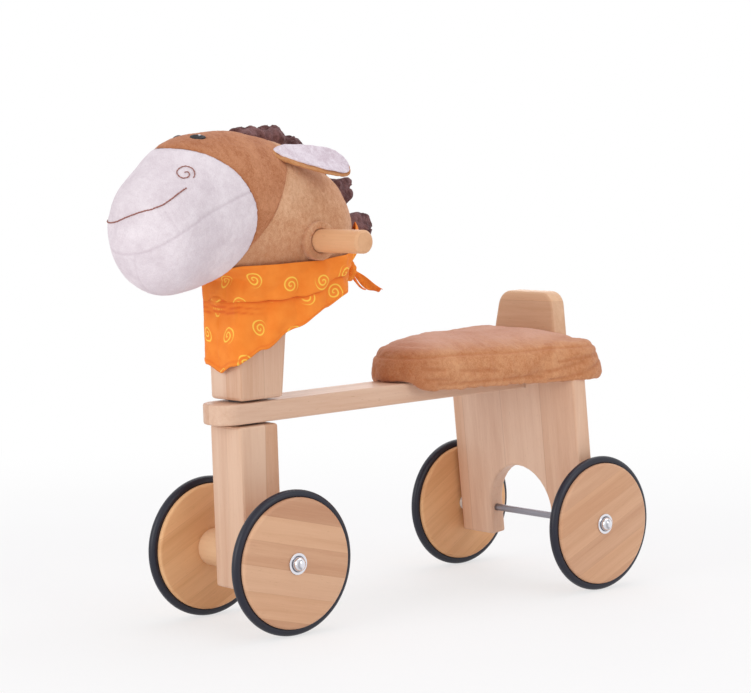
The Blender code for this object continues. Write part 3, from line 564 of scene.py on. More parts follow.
# %% Plush
def plush(name, deep, pale, pile=1.0, sheen=0.35, patches=14.0, spread=0.8, seam_shade_colour=None, other=()):
    """other holds more tones, each as (colour, its mask made from the coordinates and the patches)."""
    made = Finish(name)
    patch = made.speckle(patches, 2.0, distortion=0.8)
    brushed = made.speckle(1.0, 2.0, made.placed(scale=(110, 230, 180)), distortion=0.5)
    hair = made.speckle(1.0, 2.0, made.placed(scale=(900, 1300, 650)))
    shade = ((patch - 0.5) * 1.5 * spread + (brushed - 0.5) * 0.9 * spread + (hair - 0.5) * 0.9 * pile + 0.5)
    tone = made.mix(deep, pale, shade.between(0.0, 1.0))
    for second, mask in other:
        tone = made.mix(tone, second, mask(made.axes(made.placed()), patch))
    # Along seams and creases the pile is painted darker: painted shade in their valleys
    painted_crease_shade = made.noted("painted_crease_shade")
    print("plush for", name.removesuffix("_plush"))
    return made.set(Base_Color=made.mix(tone, seam_shade_colour or deep, painted_crease_shade * 0.5), Roughness=0.92,
                    Normal=made.relief(brushed * 0.45 + hair * 0.55, 0.0016 * pile, 0.75), Specular_IOR_Level=0.12,
                    Sheen_Weight=sheen, Sheen_Roughness=0.45, Sheen_Tint=made_pinker(pale))


def made_pinker(tone):
    """The colour that the ends of the hairs take against the light."""
    return tone[0] * 0.5 + 0.42, tone[1] * 0.5 + 0.36, tone[2] * 0.5 + 0.40


face_plush = plush("face_plush", colour(164, 98, 60), colour(206, 146, 108))
# The lower neck is painted a darker tone: painted shade below the lit upper neck
neck_plush = plush("neck_plush", colour(192, 132, 92), colour(232, 188, 152), other=(
    (colour(180, 114, 74), lambda at, patch: (1 - at[2].between(0.372, 0.425)) * (0.30 + patch * 0.45)),))
# The cover's top is painted paler, as painted light from above, and its narrow front end darker, as painted shade
PAINTED_LIGHT_ON_TOP = (colour(216, 170, 154),
               lambda at, patch: (at[2] - at[1] * 0.0227).between(0.2670, 0.2860) * (0.25 + patch * 0.65))
PAINTED_SHADE_AT_FRONT = (colour(160, 82, 44),
              lambda at, patch: (1 - at[1].between(0.028, 0.075)) * (0.12 + patch * 0.50))
seat_plush = plush("seat_plush", colour(186, 118, 76), colour(218, 162, 120), 1.1, 0.5, 17.0,
                   other=(PAINTED_LIGHT_ON_TOP, PAINTED_SHADE_AT_FRONT))
muzzle_plush = plush("muzzle_plush", colour(212, 199, 206), colour(238, 229, 234), 0.8, 0.2, 26.0, 0.6,
                     seam_shade_colour=colour(186, 168, 178))
mane_plush = plush("mane_plush", colour(78, 48, 48), colour(132, 94, 92), 1.2, 0.5, 40.0, 1.2)

# %% [markdown]
# The head is a bag of plush, sewn from panels and stuffed hard. It could be sculpted by hand. But
# stuffing pulls the skin tight, so its form is the tight skin round a few balls: the muzzle, the
# bridge of the nose, the brow, the crown and the nape. The balls are joined, the convex hull wraps
# them, and a voxel remesh turns the wrap into an even mesh. Two curved seams then divide the skin
# into a white muzzle, a brown face and a brown neck.

# %% The stuffed form
def all_over(piece, operator, **settings):
    """Runs an edit mode operator on a piece's whole mesh."""
    hold(piece)
    bpy.ops.object.mode_set(mode="EDIT")
    bpy.ops.mesh.select_all(action="SELECT")
    operator(**settings)
    bpy.ops.object.mode_set(mode="OBJECT")


def soften(piece, turns):
    press(piece, "SMOOTH", factor=0.5, iterations=turns)


def knit(piece, voxel, turns):
    """Gives a piece an even mesh of quads, as fine as voxel, and smooths it."""
    press(piece, "REMESH", mode="VOXEL", voxel_size=voxel)
    soften(piece, turns)


MUZZLE = ((0, -0.0906, 0.3418), (0.068, 0.0491, 0.0659))
BRIDGE = ((0, -0.0471, 0.3673), (0.064, 0.0738, 0.0700))
BROW = ((0, -0.0167, 0.3656), (0.069, 0.072, 0.0744))
CROWN = ((0, 0.0300, 0.3820), (0.060, 0.045, 0.0480))
NAPE = ((0, 0.0656, 0.3317), (0.064, 0.070, 0.0760))
THROAT = ((0, 0.0120, 0.2700), (0.036, 0.041, 0.0220))


def stuffed(name, balls):
    """The tight skin round a few balls, as an even mesh."""
    let_go()
    made = []
    for middle, radii in balls:
        bpy.ops.mesh.primitive_uv_sphere_add(segments=72, ring_count=36, radius=1, location=middle, scale=radii)
        made.append(bpy.context.object)
    for ball in made:
        ball.select_set(True)
    bpy.ops.object.join()
    form = added(name)
    all_over(form, bpy.ops.mesh.convex_hull)
    knit(form, 0.0025, 6)
    return form


def seam_roll(seam, grow=0.0):
    """The cylinder across the head whose side is a curved seam."""
    y, height, radius = seam
    return started("seam_roll", bpy.ops.mesh.primitive_cylinder_add, vertices=192, radius=radius + grow,
                   depth=0.3, location=(0, y, height), rotation=LYING)


MUZZLE_SEAM, JAW_SEAM = (-0.0988, 0.3479, 0.0774), (-0.1849, 0.4807, 0.2260)
face = stuffed("face", (MUZZLE, BRIDGE, BROW, CROWN))
neck = stuffed("neck", (BROW, CROWN, NAPE, THROAT))
muzzle = twin(face, "muzzle")
cut_with(muzzle, seam_roll(MUZZLE_SEAM), "INTERSECT")
cut_with(face, seam_roll(JAW_SEAM), "INTERSECT")
cut_with(face, seam_roll(MUZZLE_SEAM, -0.0014))
cut_with(neck, seam_roll(JAW_SEAM, -0.0020))
cut_with(neck, seam_roll(MUZZLE_SEAM, -0.0014))
for panel in (muzzle, face, neck):
    print(panel.name, "is", [round(side, 3) for side in panel.dimensions], "m")

# %% [markdown]
# Where two panels are sewn, the thread pulls the skin in and the pile closes over it, so a seam is a
# soft valley. It could be drawn with a crease brush. `tuck` does the same from a line of points, so
# that both sides of the head get the same seam: it presses the skin in along the line, and notes in
# an attribute how deep each point went. The finish reads that and paints shade into the pile there.

# %% Seams and lumps
def rough(places, size, seed):
    """Smooth noise from -1 to 1 at every point, with lumps about size metres across."""
    return np.array([noise.noise(Vector(p) / size + Vector((seed, seed, seed))) for p in places])


def tuck(piece, distance, depth, half_width):
    """Presses points in along their normals where distance from a seam is small. Narrow seams are noted for painted
    shade.
    """
    press_in = np.exp(-((distance / half_width) ** 2))
    move_points(piece, points_of(piece) - points_of(piece, "normal") * (depth * press_in)[:, None])
    layer = piece.data.attributes.get("painted_crease_shade") or piece.data.attributes.new("painted_crease_shade", "FLOAT", "POINT")
    noted = np.empty(len(press_in))
    layer.data.foreach_get("value", noted)
    # Only narrow valleys are noted, and the finish paints shade into them
    if half_width < 0.004:
        layer.data.foreach_set("value", np.maximum(noted, press_in * min(1.0, depth / 0.0012)))


def from_line(places, line):
    """How far each place is from a line through the given points."""
    line = np.asarray(line, float)
    nearest = np.full(len(places), 9.0)
    for start, end in zip(line, line[1:]):
        way = end - start
        t = np.clip((places - start) @ way / (way @ way), 0, 1)
        nearest = np.minimum(nearest, np.linalg.norm(places - start - t[:, None] * way, axis=1))
    return nearest


def through(points, step):
    """Even points on a smooth curve through the given ones."""
    points = [Vector(p) for p in points]
    ends = [points[0] * 2 - points[1], *points, points[-1] * 2 - points[-2]]
    line = []
    for a, b, c, d in zip(ends, ends[1:], ends[2:], ends[3:]):
        count = max(1, round((c - b).length / step))
        for i in range(count):
            t = i / count
            line.append(0.5 * (2 * b + (c - a) * t + (2 * a - 5 * b + 4 * c - d) * t * t
                               + (3 * b - a - 3 * c + d) * t ** 3))
    return line + [points[-1]]


def from_roll(places, seam):
    """How far each place is from the side of a seam roll."""
    y, height, radius = seam
    return np.abs(np.hypot(places[:, 1] - y, places[:, 2] - height) - radius)


def lumpy(piece, big, small, seed, big_size=0.022, small_size=0.0035):
    """Swells a piece in wide lumps, big metres high, and in small ones."""
    places = points_of(piece)
    swell = big * rough(places, big_size, seed) + small * rough(places, small_size, seed + 7.3)
    move_points(piece, places + points_of(piece, "normal") * swell[:, None])


def mirrored(line):
    return [(-x, y, z) for x, y, z in line]


def skin_of(piece):
    """The piece's surface, in a form that can be asked for its nearest point or for what a ray hits."""
    return BVHTree.FromPolygons([v.co for v in piece.data.vertices], [p.vertices for p in piece.data.polygons])


def on_skin(line, skin):
    """Even points of a smooth line, each moved to the nearest point of the skin."""
    return [skin.find_nearest(point)[0] for point in through(line, 0.004)]

# %% [markdown]
# The muzzle is sewn from a few white panels: one seam runs across it below the mouth, a short dart
# goes up on each side, and another runs down under the chin. Each panel could be a mesh of its own,
# but one skin with valleys in it has no gaps. The neck is held in where the neckerchief is tied
# under the muzzle.

# %% Sewing the head
for panel in (muzzle, face, neck):
    knit(panel, 0.0014, 3)
# Under the muzzle the neckerchief holds the front of the neck in
NECK_Y, HELD_IN, BELOW = 0.030, 0.0560, 0.300
places = points_of(neck)
away = places[:, :2] - (0, NECK_Y)
far = np.linalg.norm(away, axis=1)
ahead = np.clip((-away[:, 1] / far - 0.45) / 0.35, 0, 1) * np.clip((BELOW - places[:, 2]) / 0.012, 0, 1)
places[:, :2] = (0, NECK_Y) + away * (1 - ahead * (1 - np.minimum(far, HELD_IN) / far))[:, None]
move_points(neck, places)
WHITE_SEAM = [(0.066, -0.0226, 0.3802), (0.0654, -0.0787, 0.3589), (0.0584, -0.1134, 0.3380),
              (0.0314, -0.1308, 0.3238), (0.0, -0.1365, 0.3205), (-0.0314, -0.1308, 0.3238),
              (-0.0584, -0.1134, 0.3380), (-0.0654, -0.0787, 0.3589), (-0.066, -0.0226, 0.3802)]
WHITE_DART = [(0.048, -0.1196, 0.3617), (0.0597, -0.1118, 0.3409)]
CHIN_SEAM = [(0.0151, -0.1348, 0.3218), (0.006, -0.1270, 0.3010), (0.0, -0.1108, 0.2830)]
whole = skin_of(muzzle)
tuck(muzzle, from_roll(points_of(muzzle), MUZZLE_SEAM), 0.0006, 0.0024)
for line, depth in ((WHITE_SEAM, 0.0008), (WHITE_DART, 0.0004), (mirrored(WHITE_DART), 0.0004),
                    (CHIN_SEAM, 0.0005)):
    tuck(muzzle, from_line(points_of(muzzle), on_skin(line, whole)), depth, 0.0012)
tuck(face, from_roll(points_of(face), MUZZLE_SEAM), 0.0008, 0.0022)
tuck(face, from_roll(points_of(face), JAW_SEAM), 0.0004, 0.0026)
tuck(neck, from_roll(points_of(neck), JAW_SEAM), 0.0005, 0.0030)
lumpy(muzzle, 0.0007, 0.00022, 1.0)
lumpy(face, 0.0007, 0.00030, 2.0)
lumpy(neck, 0.0012, 0.00030, 3.0)
muzzle_skin, face_skin = skin_of(muzzle), skin_of(face)
for panel, finish, slot in ((muzzle, muzzle_plush, "white_plush"), (face, face_plush, "brown_plush"),
                            (neck, neck_plush, "brown_plush")):
    finished(panel, finish, "steering", f"{panel.name}_plush", slot=slot, tipped=True)

# %% [markdown]
# The mouth and the nostrils are sewn on with a brown thread, as a row of short stitches that lie on
# the pile. They could be painted into the finish, but a thread stands up and takes the light. So a
# curve is drawn through points on the skin, dropped onto it, and thickened. It is thinner where each
# stitch goes into the cloth.

# %% Mouth and nostrils
thread_finish = Finish("brown_thread")
twist = thread_finish.speckle(1.0, 2.0, thread_finish.placed(scale=(1500, 1500, 1500)))
brown_thread = thread_finish.set(Base_Color=thread_finish.mix(colour(128, 76, 66), colour(166, 104, 90), twist),
                                 Roughness=0.5 + twist * 0.2, Normal=thread_finish.relief(twist, 0.0003, 0.6))
# How long a stitch is, and how far the thread lies off the skin
STITCH, LIFT = 0.0034, 0.0003


def sewn(name, line, skin, radius):
    """A thread along a line on the skin, in stitches."""
    curve = bpy.data.curves.new(name, "CURVE")
    curve.dimensions, curve.use_fill_caps = "3D", True
    curve.bevel_depth, curve.bevel_resolution = radius, 2
    points = through(line, 0.0006)
    spline = curve.splines.new("POLY")
    spline.points.add(len(points) - 1)
    walked = 0.0
    for i, point in enumerate(points):
        spot, normal, _, _ = skin.find_nearest(point)
        walked += (point - points[i - 1]).length if i else 0.0
        bow = abs(math.sin(math.pi * walked / STITCH))
        spline.points[i].co = (*(spot + normal * (LIFT + 0.0003 * bow)), 1)
        spline.points[i].radius = 0.45 + 0.55 * bow ** 0.5
    made = bpy.data.objects.new(name, curve)
    bpy.context.collection.objects.link(made)
    hold(made)
    bpy.ops.object.convert(target="MESH")
    return bpy.context.object


MOUTH = [(-0.0575, -0.1000, 0.3560), (-0.0520, -0.1150, 0.3530), (-0.0400, -0.1265, 0.3515),
         (-0.0268, -0.1334, 0.3512), (-0.008, -0.1368, 0.3530), (0.0117, -0.1356, 0.3583), (0.0250, -0.1312, 0.3615),
         (0.0385, -0.1250, 0.3650), (0.0470, -0.1150, 0.3705), (0.0514, -0.0965, 0.3832)]
mouth = sewn("mouth_stitches", MOUTH, muzzle_skin, 0.00075)
finished(mouth, brown_thread, "steering", slot="black_thread", tipped=True)
# How many turns a nostril has, and how far it reaches at first
TURNS, WIDEST = 1.42, 0.0086


def curl(sign):
    """A nostril: a spiral on the side of the muzzle, which only draws in after its first half turn."""
    middle, out = Vector((sign * 0.0435, -0.0909, 0.3973)), Vector((sign * 0.69, -0.40, 0.61)).normalized()
    across = Vector((0, 0, 1)).cross(out).normalized() * sign
    up = out.cross(across) * sign
    line = []
    for i in range(60):
        s = i / 59
        angle = math.radians(-38) + s * TURNS * math.tau
        radius = WIDEST * (1 - 0.86 * max(0.0, (s - 0.40) / 0.60) ** 0.75)
        line.append(middle + across * math.cos(angle) * radius * 1.02 + up * math.sin(angle) * radius)
    return line


for side, sign in SIGNS.items():
    nostril = sewn(f"{side}_nostril_stitches", curl(sign), muzzle_skin, 0.00062)
    finished(nostril, brown_thread, "steering", slot="black_thread", tipped=True)

# %% [markdown]
# Each eye is a patch of black satin stitch, padded a little so that it stands up from the pile, with
# two white stitches as its glint. A dark spot in the finish would lie flat. A flattened ball gives
# the padding, and fine ridges across it give the rows of thread.

# %% Eyes
satin = Finish("black_satin_stitch")
rows = satin.node("ShaderNodeTexWave", {"bands_direction": "X"},
                  {"Vector": satin.placed(turn=(0, 0, math.radians(35))), "Scale": 420.0, "Distortion": 1.5})["Fac"]
black_satin = satin.set(Base_Color=satin.mix(colour(12, 10, 14), colour(34, 30, 36), rows),
                        Roughness=0.35 + rows * 0.15, Normal=satin.relief(rows, 0.0004, 0.6))
white = Finish("white_thread")
white_thread = white.set(Base_Color=white.mix(colour(232, 230, 236), colour(248, 247, 250), white.speckle(900.0)),
                         Roughness=0.4)
for side, sign in SIGNS.items():
    middle = Vector((sign * 0.0178, -0.0567, 0.4316))
    out = Vector((sign * 0.30, -0.22, 0.93)).normalized()
    across = Vector((0.80 * sign, 0.60, 0))
    across = (across - out * out.dot(across)).normalized()
    deep = out.cross(across).normalized()
    spot = face_skin.find_nearest(middle)[0]
    turn = Matrix((across, deep, out)).transposed().to_4x4()
    for kind, finish, size, shift in (("eye", black_satin, (0.0082, 0.0050, 0.0022), (0, 0, 0)),
                                      ("glint", white_thread, (0.0015, 0.0011, 0.0008), (0.0016, 0.0010, 0.0019))):
        patch = started(f"{side}_{kind}_stitches", bpy.ops.mesh.primitive_uv_sphere_add, segments=40,
                        ring_count=20, scale=size)
        places = points_of(patch)
        if kind == "eye":
            places[:, 0] *= 1 + 0.10 * (places[:, 1] / size[1])
            places[:, 2] += 0.00016 * np.sin(places[:, 1] * 5200)
        move_points(patch, places)
        patch.data.transform(Matrix.Translation(spot + out * 0.0002) @ turn @ Matrix.Translation(shift))
        names = (f"eye_{side}",) if kind == "eye" else ()
        finished(patch, finish, "steering", *names, slot="black_thread", tipped=True)

# %% [markdown]
# An ear is two leaf-shaped pieces of plush, brown behind and white inside, sewn edge to edge and
# turned. The leaf is cupped, and its brown back shows as a rim along the lower edge. It could be a
# flat shape with a thickness, but a stuffed leaf has no sharp edge. So a ball is flattened and bent
# into the leaf. The lining is a second, smaller leaf that lies in the cup.

# %% Ears
def face_outwards(piece):
    all_over(piece, bpy.ops.mesh.normals_make_consistent, inside=False)


lining_plush = plush("ear_lining_plush", colour(206, 188, 198), colour(240, 230, 238), 1.1, 0.25, 24.0, 1.1)
ear_plush = plush("ear_plush", colour(176, 112, 64), colour(208, 152, 104))


def leaf(name, sign, wide, thick, long_by, raise_by, shift, seed):
    """A stuffed leaf from the head's side to the ear's tip, half wide and half thick metres each way."""
    base, tip = Vector((0.043, 0.016, 0.4160)), Vector((0.074, 0.0935, 0.3950))
    along = (tip - base).normalized()
    front = Vector((0.62, -0.12, 0.74))
    front = (front - along * front.dot(along)).normalized()
    side_way = front.cross(along)
    piece = started(name, bpy.ops.mesh.primitive_uv_sphere_add, segments=72, ring_count=48)
    places = points_of(piece)
    x, y, z = places.T
    wider = x * (0.92 + 0.34 * z + 0.20 * z * z)
    y = y * (1 - 0.25 * np.abs(x)) + 0.9 * wider * wider * (0.0055 / thick)
    middle = (base + tip) / 2 + front * raise_by
    reach = (tip - base).length / 2 * long_by
    spots = (np.outer(wider * wide + shift * (1 - 0.8 * z), side_way) + np.outer(y * thick, front)
             + np.outer(z * reach, along) + np.array(middle))
    spots[:, 0] *= sign
    move_points(piece, spots)
    face_outwards(piece)
    lumpy(piece, 0.0008, 0.0004, seed, 0.009)
    return piece


for side, sign in SIGNS.items():
    back = leaf(f"{side}_ear_back", sign, 0.0210, 0.0052, 1.0, 0.0, 0.0, 4.0)
    finished(back, ear_plush, "steering", f"ear_{side}", slot="brown_plush", tipped=True)
    lining = leaf(f"{side}_ear_lining", sign, 0.0182, 0.0046, 0.955, 0.0022, 0.0016, 5.0)
    finished(lining, lining_plush, "steering", slot="white_plush", tipped=True)

# %% [markdown]
# The mane is a strip of long dark plush that was gathered before it was sewn in, so it stands up in
# ruffled tufts along the ridge of the head. Hair could be grown there, but the tufts are plush too
# and read as lumps. Each tuft is a ball whose skin is thrown into folds that run from its root to
# its top, remeshed so that the folds keep an even pile.

# %% Mane
# Each tuft: how far back and how high it is rooted, its lean in degrees, half its length and its height
TUFTS = [(0.017, 0.4315, -2, 0.019, 0.0105), (0.046, 0.4250, 6, 0.020, 0.0168), (0.070, 0.4130, 26, 0.019, 0.0180),
         (0.099, 0.3970, 42, 0.018, 0.0190), (0.125, 0.3680, 76, 0.017, 0.0265), (0.147, 0.3335, 95, 0.015, 0.0285)]
for number, (y, height, angle, length, tall) in enumerate(TUFTS, 1):
    lean = math.radians(angle)
    tuft = started(f"mane_ruffle_{number}", bpy.ops.mesh.primitive_uv_sphere_add, segments=80, ring_count=48)
    places = points_of(tuft)
    x, t, z = places.T
    turn = np.arctan2(t, x)
    top = np.clip((z + 0.55) / 1.2, 0, 1)
    folds = 1 + 0.20 * np.cos(5 * turn + 1.9 * number + 1.6 * z) * top + 0.09 * np.cos(9 * turn - number) * top
    flare = folds * (1 + 0.10 * z)
    rise = z * (1 - 0.12 * np.cos(2 * turn + number)) + 0.12 * top * np.cos(4 * turn + number)
    ways = (Vector((0.0138, 0, 0)), Vector((0, math.cos(lean), -math.sin(lean))) * length,
            Vector((0, math.sin(lean), math.cos(lean))) * tall)
    spots = np.array((0, y, height)) + sum(np.outer(a, b) for a, b in zip((x * flare, t * flare, rise), ways))
    move_points(tuft, spots)
    knit(tuft, 0.0010, 2)
    lumpy(tuft, 0.0018, 0.0005, number * 1.7, 0.008, 0.0026)
    finished(tuft, mane_plush, "steering", f"mane_tuft_{number}", slot="mane_plush", tipped=True)

# %% [markdown]
# Where the dowel comes out of the head, a small tube of plush is sewn round it. It could be a torus,
# but it is flat at its end. So it starts as a short cylinder with a hole, and the remesh rounds its
# edges as the pile does.

# %% Rings round the handlebar
HANDLE_Y, HANDLE_HEIGHT = 0.0554, 0.3244
for side, sign in SIGNS.items():
    ring = started(f"{side}_handle_ring", bpy.ops.mesh.primitive_cylinder_add, vertices=64, radius=0.0200,
                   depth=0.0180, location=(sign * 0.0616, HANDLE_Y, HANDLE_HEIGHT), rotation=LYING)
    cut_with(ring, started("dowel_room", bpy.ops.mesh.primitive_cylinder_add, vertices=48, radius=0.0124,
                           depth=0.1, location=(sign * 0.0608, HANDLE_Y, HANDLE_HEIGHT), rotation=LYING))
    knit(ring, 0.0011, 14)
    lumpy(ring, 0.0006, 0.0003, 6.0 + sign, 0.009)
    finished(ring, neck_plush, "steering", f"handle_collar_{side}", slot="brown_plush", tipped=True)

# %% [markdown]
# The neckerchief is a printed cotton triangle. Its long edge is folded down once, wrapped round the
# neck and knotted behind, and its point hangs in front. A cloth simulation could tie it, but where
# its folds fall would be luck. So it is drawn as columns of points round the neck. Four tables say,
# for each angle from the front, how high its edges are and how far out the cloth stands, and `read`
# eases from one entry to the next.

# %% Neckerchief
# Each table holds (degrees from the front, metres): the rolled edge's top, the free edge, how far the
# cloth stands from the neck's middle at least, and the fold's lower edge
SCARF_TOP = [(0, 0.290), (20, 0.299), (40, 0.303), (60, 0.303), (110, 0.304), (140, 0.308), (158, 0.340),
             (180, 0.322)]
SCARF_BOTTOM = [(0, 0.192), (22, 0.200), (53, 0.216), (92, 0.236), (122, 0.255), (137, 0.2685), (180, 0.277)]
SCARF_REACH = [(0, 0.0545), (27, 0.0594), (60, 0.0460), (92, 0.0510), (122, 0.0690), (137, 0.0850),
               (180, 0.1030)]
SCARF_FOLD = [(0, 0.266), (80, 0.2675), (100, 0.269), (112, 0.274), (133, 0.286), (160, 0.296), (180, 0.296)]


def read(table, angle):
    """A value off a table of (angle, value), eased from one to the next."""
    for (a, low), (b, high) in zip(table, table[1:]):
        if angle <= b:
            t = (angle - a) / (b - a)
            return low + (high - low) * t * t * (3 - 2 * t)
    return table[-1][1]


def wrinkle(degrees, drop, fine, seed):
    """Noise in creases that run round the neck and draw together towards the knot."""
    return noise.noise(Vector((degrees / 48, drop * fine + degrees / 90, seed)))

# %% [markdown]
# Each column goes down the cloth, over the fold, back up under it and on down to the free edge.
# Noise that runs round the neck gives the creases, and they draw together towards the knot. The
# cloth must not sink into what it is tied round, so a ray finds how far out the plush is at each
# point, and a plain sum how far out the square post is. Under the fold, in the fold lines, just
# above the hem and where the cloth dips in, a number is noted that paints shade on the cloth.

# %% The neckerchief's folds
def from_grid(name, rows, loop=False, closed=False):
    """A mesh of quads through rows of points. loop joins each row's ends, closed caps the outer rows."""
    wide, points = len(rows[0]), [p for row in rows for p in row]
    last = wide if loop else wide - 1
    faces = [(r * wide + c, r * wide + (c + 1) % wide, (r + 1) * wide + (c + 1) % wide, (r + 1) * wide + c)
             for r in range(len(rows) - 1) for c in range(last)]
    if closed:
        faces += [tuple(range(wide)), tuple(range((len(rows) - 1) * wide, len(rows) * wide))]
    mesh = bpy.data.meshes.new(name)
    mesh.from_pydata([tuple(p) for p in points], [], faces)
    piece = bpy.data.objects.new(name, mesh)
    bpy.context.collection.objects.link(piece)
    return piece


upright_neck = [TIP.inverted() @ v.co for v in neck.data.vertices]
nape_skin = BVHTree.FromPolygons(upright_neck, [p.vertices for p in neck.data.polygons])
# How many columns of points go round the neck and steps down each layer, and how wide the post is there
COLUMNS, DOWN, POST_SIDE, POST_FRONT = 300, 30, 0.0276, 0.0556
columns, shade = [], []
for i in range(COLUMNS):
    degrees = 360 * i / COLUMNS
    angle = min(degrees, 360 - degrees)
    out = Vector((math.sin(math.radians(degrees)), -math.cos(math.radians(degrees)), 0))
    top, bottom, fold = read(SCARF_TOP, angle), read(SCARF_BOTTOM, angle), read(SCARF_FOLD, angle)
    bottom += 0.0008 * noise.noise(Vector((degrees / 9, 3, 1)))
    fold += 0.0015 * noise.noise(Vector((degrees / 20, 5, 1)))
    gather, loose = max(0.0, (angle - 95) / 85), min(1.0, 0.3 + angle / 90)
    path = []
    for step in range(DOWN + 1):
        t = step / DOWN
        bulge = 0.0022 + 0.0024 * math.sin(math.pi * min(1, 0.15 + t * 0.8)) + 0.0010 * t
        crease = 0.0020 * wrinkle(degrees, t, 2.6, 2.0) * math.sin(math.pi * min(1, 0.1 + 1.1 * t))
        path.append((top + (fold - top) * t, (bulge + crease) * loose, t))
    under = min(0.006, 0.4 * (top - fold))
    path += [(fold - 0.0008, 0.0024, 1), (fold - 0.0006, 0.0014, 1), (fold + under * 0.4, 0.0004, 1),
             (fold + under, 0.0, 1), (fold + under * 0.9, -0.0007, 1)]
    for step in range(DOWN + 1):
        t = step / DOWN
        height = fold + under * 0.8 + (bottom - fold - under * 0.8) * t
        pinch = 1 - math.exp(-((height - fold + 0.010) / 0.006) ** 2)
        pinch = 0.0038 * pinch * max(0.0, 1 - angle / 60) * math.sin(math.pi * min(1, 0.25 + 0.6 * t))
        drape = 0.0038 * wrinkle(degrees, t, 2.0, 6.0) * min(1, 1.6 * t)
        drape = drape + 0.0005 * wrinkle(degrees, t, 8.0, 8.0) * t
        hem = 0.0006 * (t > 0.955) * (t < 0.995)
        path.append((height, -0.0007 + 0.0010 * t + pinch + drape + hem, t))
    column = []
    for height, lift, t in path:
        below = fold - height
        fold_lines = sum(math.exp(-((below - gap - 0.00007 * angle) / 0.0011) ** 2) for gap in (0.0050, 0.0105))
        in_front = max(0.0, 1 - angle / 70)
        # Painted shade: under the fold, in the fold lines, just above the hem and where the cloth dips in
        painted_shade_under_fold = math.exp(-(below / 0.0030) ** 2) * (lift < 0.0017)
        lift -= 0.0018 * fold_lines * in_front
        painted_hem_shade = 0.45 * (0.925 < t < 0.955) * (lift < 0.0017 or height < fold - 0.01)
        shade.append(min(1.0, painted_shade_under_fold + painted_hem_shade + 1.1 * fold_lines * in_front + max(0.0, -300 * (lift + 0.0004))))
        middle = Vector((0, NECK_Y, height))
        hit = nape_skin.ray_cast(middle + out * 0.3, -out)[0]
        body = (hit - middle).length + 0.0014 if hit else 0
        drop = (top - height) / (top - bottom)
        wave = 0.0013 * loose * drop * (1 + math.sin(math.radians(9 * degrees) + 5 * drop))
        crimp = 0.0016 * gather * math.sin(drop * 19 + 3 * noise.noise(Vector((degrees / 25, 0, 9))))
        post = min(POST_SIDE / max(0.01, abs(out.x)), POST_FRONT / -out.y) if out.y < -0.15 else 0
        reach = max(body, read(SCARF_REACH, angle)) + lift + wave + crimp
        column.append(middle + out * max(reach, body, post))
    columns.append(column)
columns.append(columns[0])
shade += shade[:len(columns[0])]
scarf = from_grid("neckerchief", columns)
scarf.data.attributes.new("painted_crease_shade", "FLOAT", "POINT").data.foreach_set("value", shade)
print("neckerchief:", len(columns), "columns of", len(columns[0]), "points")

# %% [markdown]
# The print has to bend and turn with the cloth. It could be laid on from the side, but then it would
# smear wherever the cloth turns away. So the cloth gets a flat map of its own, in metres: how far
# round the neck each point is, and how far down the cloth, measured along the threads.

# %% The cloth's flat map
def paced(line):
    """How far each point of a line is from its start, along the line."""
    walked = [0.0]
    for a, b in zip(line, line[1:]):
        walked.append(walked[-1] + (b - a).length)
    return walked


round_the_neck = paced([column[DOWN // 2] for column in columns])
down_the_cloth = [paced(column) for column in columns]
layer = scarf.data.uv_layers.new(name="cloth")
for loop in scarf.data.loops:
    column, place = divmod(loop.vertex_index, len(columns[0]))
    layer.data[loop.index].uv = (round_the_neck[column], down_the_cloth[column][place])
print("neckerchief: round the neck", round(round_the_neck[-1], 3), "m")

# %% [markdown]
# The print is a scatter of small yellow curls on orange cotton. A picture could carry it, but a
# picture blurs close up. Here it is worked out on the flat map. The map is divided into squares,
# each square gets a random turn and a random shift, and inside it a curl is drawn where the angle
# and the distance from its middle agree. Solidify then gives the cloth the thickness of cotton.

# %% The print
# How large the squares are, how far a curl may stray in its square, and how fine the threads are
SQUARE, SHIFT, THREADS = 0.036, 0.30, 2600


def printed_cotton(name, ground, dark, ink):
    """Woven cotton from ground to dark, with curls of ink on it."""
    made = Finish(name)
    uv = made.node("ShaderNodeUVMap", {"uv_map": "cloth"})["UV"]
    u, v, _ = made.axes(uv)
    row = (v / SQUARE).own("FLOOR")
    sideways = u / SQUARE + row * 0.47
    column = sideways.own("FLOOR")
    key = made.joined(column, row, 3.0)
    dice = made.node("ShaderNodeTexWhiteNoise", {"noise_dimensions": "3D"}, {"Vector": key})
    first, second, third = made.axes(dice["Color"])
    x = sideways - column - 0.5 - (first - 0.5) * SHIFT
    y = (v / SQUARE).own("FRACT") - 0.5 - (second - 0.5) * SHIFT
    reach = (x * x + y * y).own("SQRT")
    turn = y.maths("ARCTAN2", y, x) / math.tau
    phase = (reach / 0.125 - turn + third).own("FRACT")
    line = 1 - (phase - 0.5).own("ABSOLUTE").between(0.13, 0.20)
    inside = 1 - reach.between(0.240, 0.257)
    curl_mask = line * inside * (reach > 0.015)
    woven = (u * THREADS).own("SINE") * (v * THREADS).own("SINE")
    slub = made.speckle(70.0, 3.0)
    faded = made.mix(dark, ground, slub.between(0.25, 0.75))
    # Where the cloth is tucked under, its print is hidden and it is painted a deeper orange, as painted shade
    painted_crease_shade = made.noted("painted_crease_shade")
    curl_mask = curl_mask * (1 - painted_crease_shade.between(0.1, 0.6))
    inked = made.mix(faded, ink, curl_mask * (0.86 + slub * 0.14))
    weave = made.relief(woven * 0.5 + made.speckle(260.0, 3.0) * 0.8, 0.0003, 0.35)
    return made.set(Base_Color=made.mix(inked, colour(222, 88, 30), painted_crease_shade * 0.75), Normal=weave,
                    Roughness=0.78 - curl_mask * 0.15, Specular_IOR_Level=0.2, Sheen_Weight=0.04)


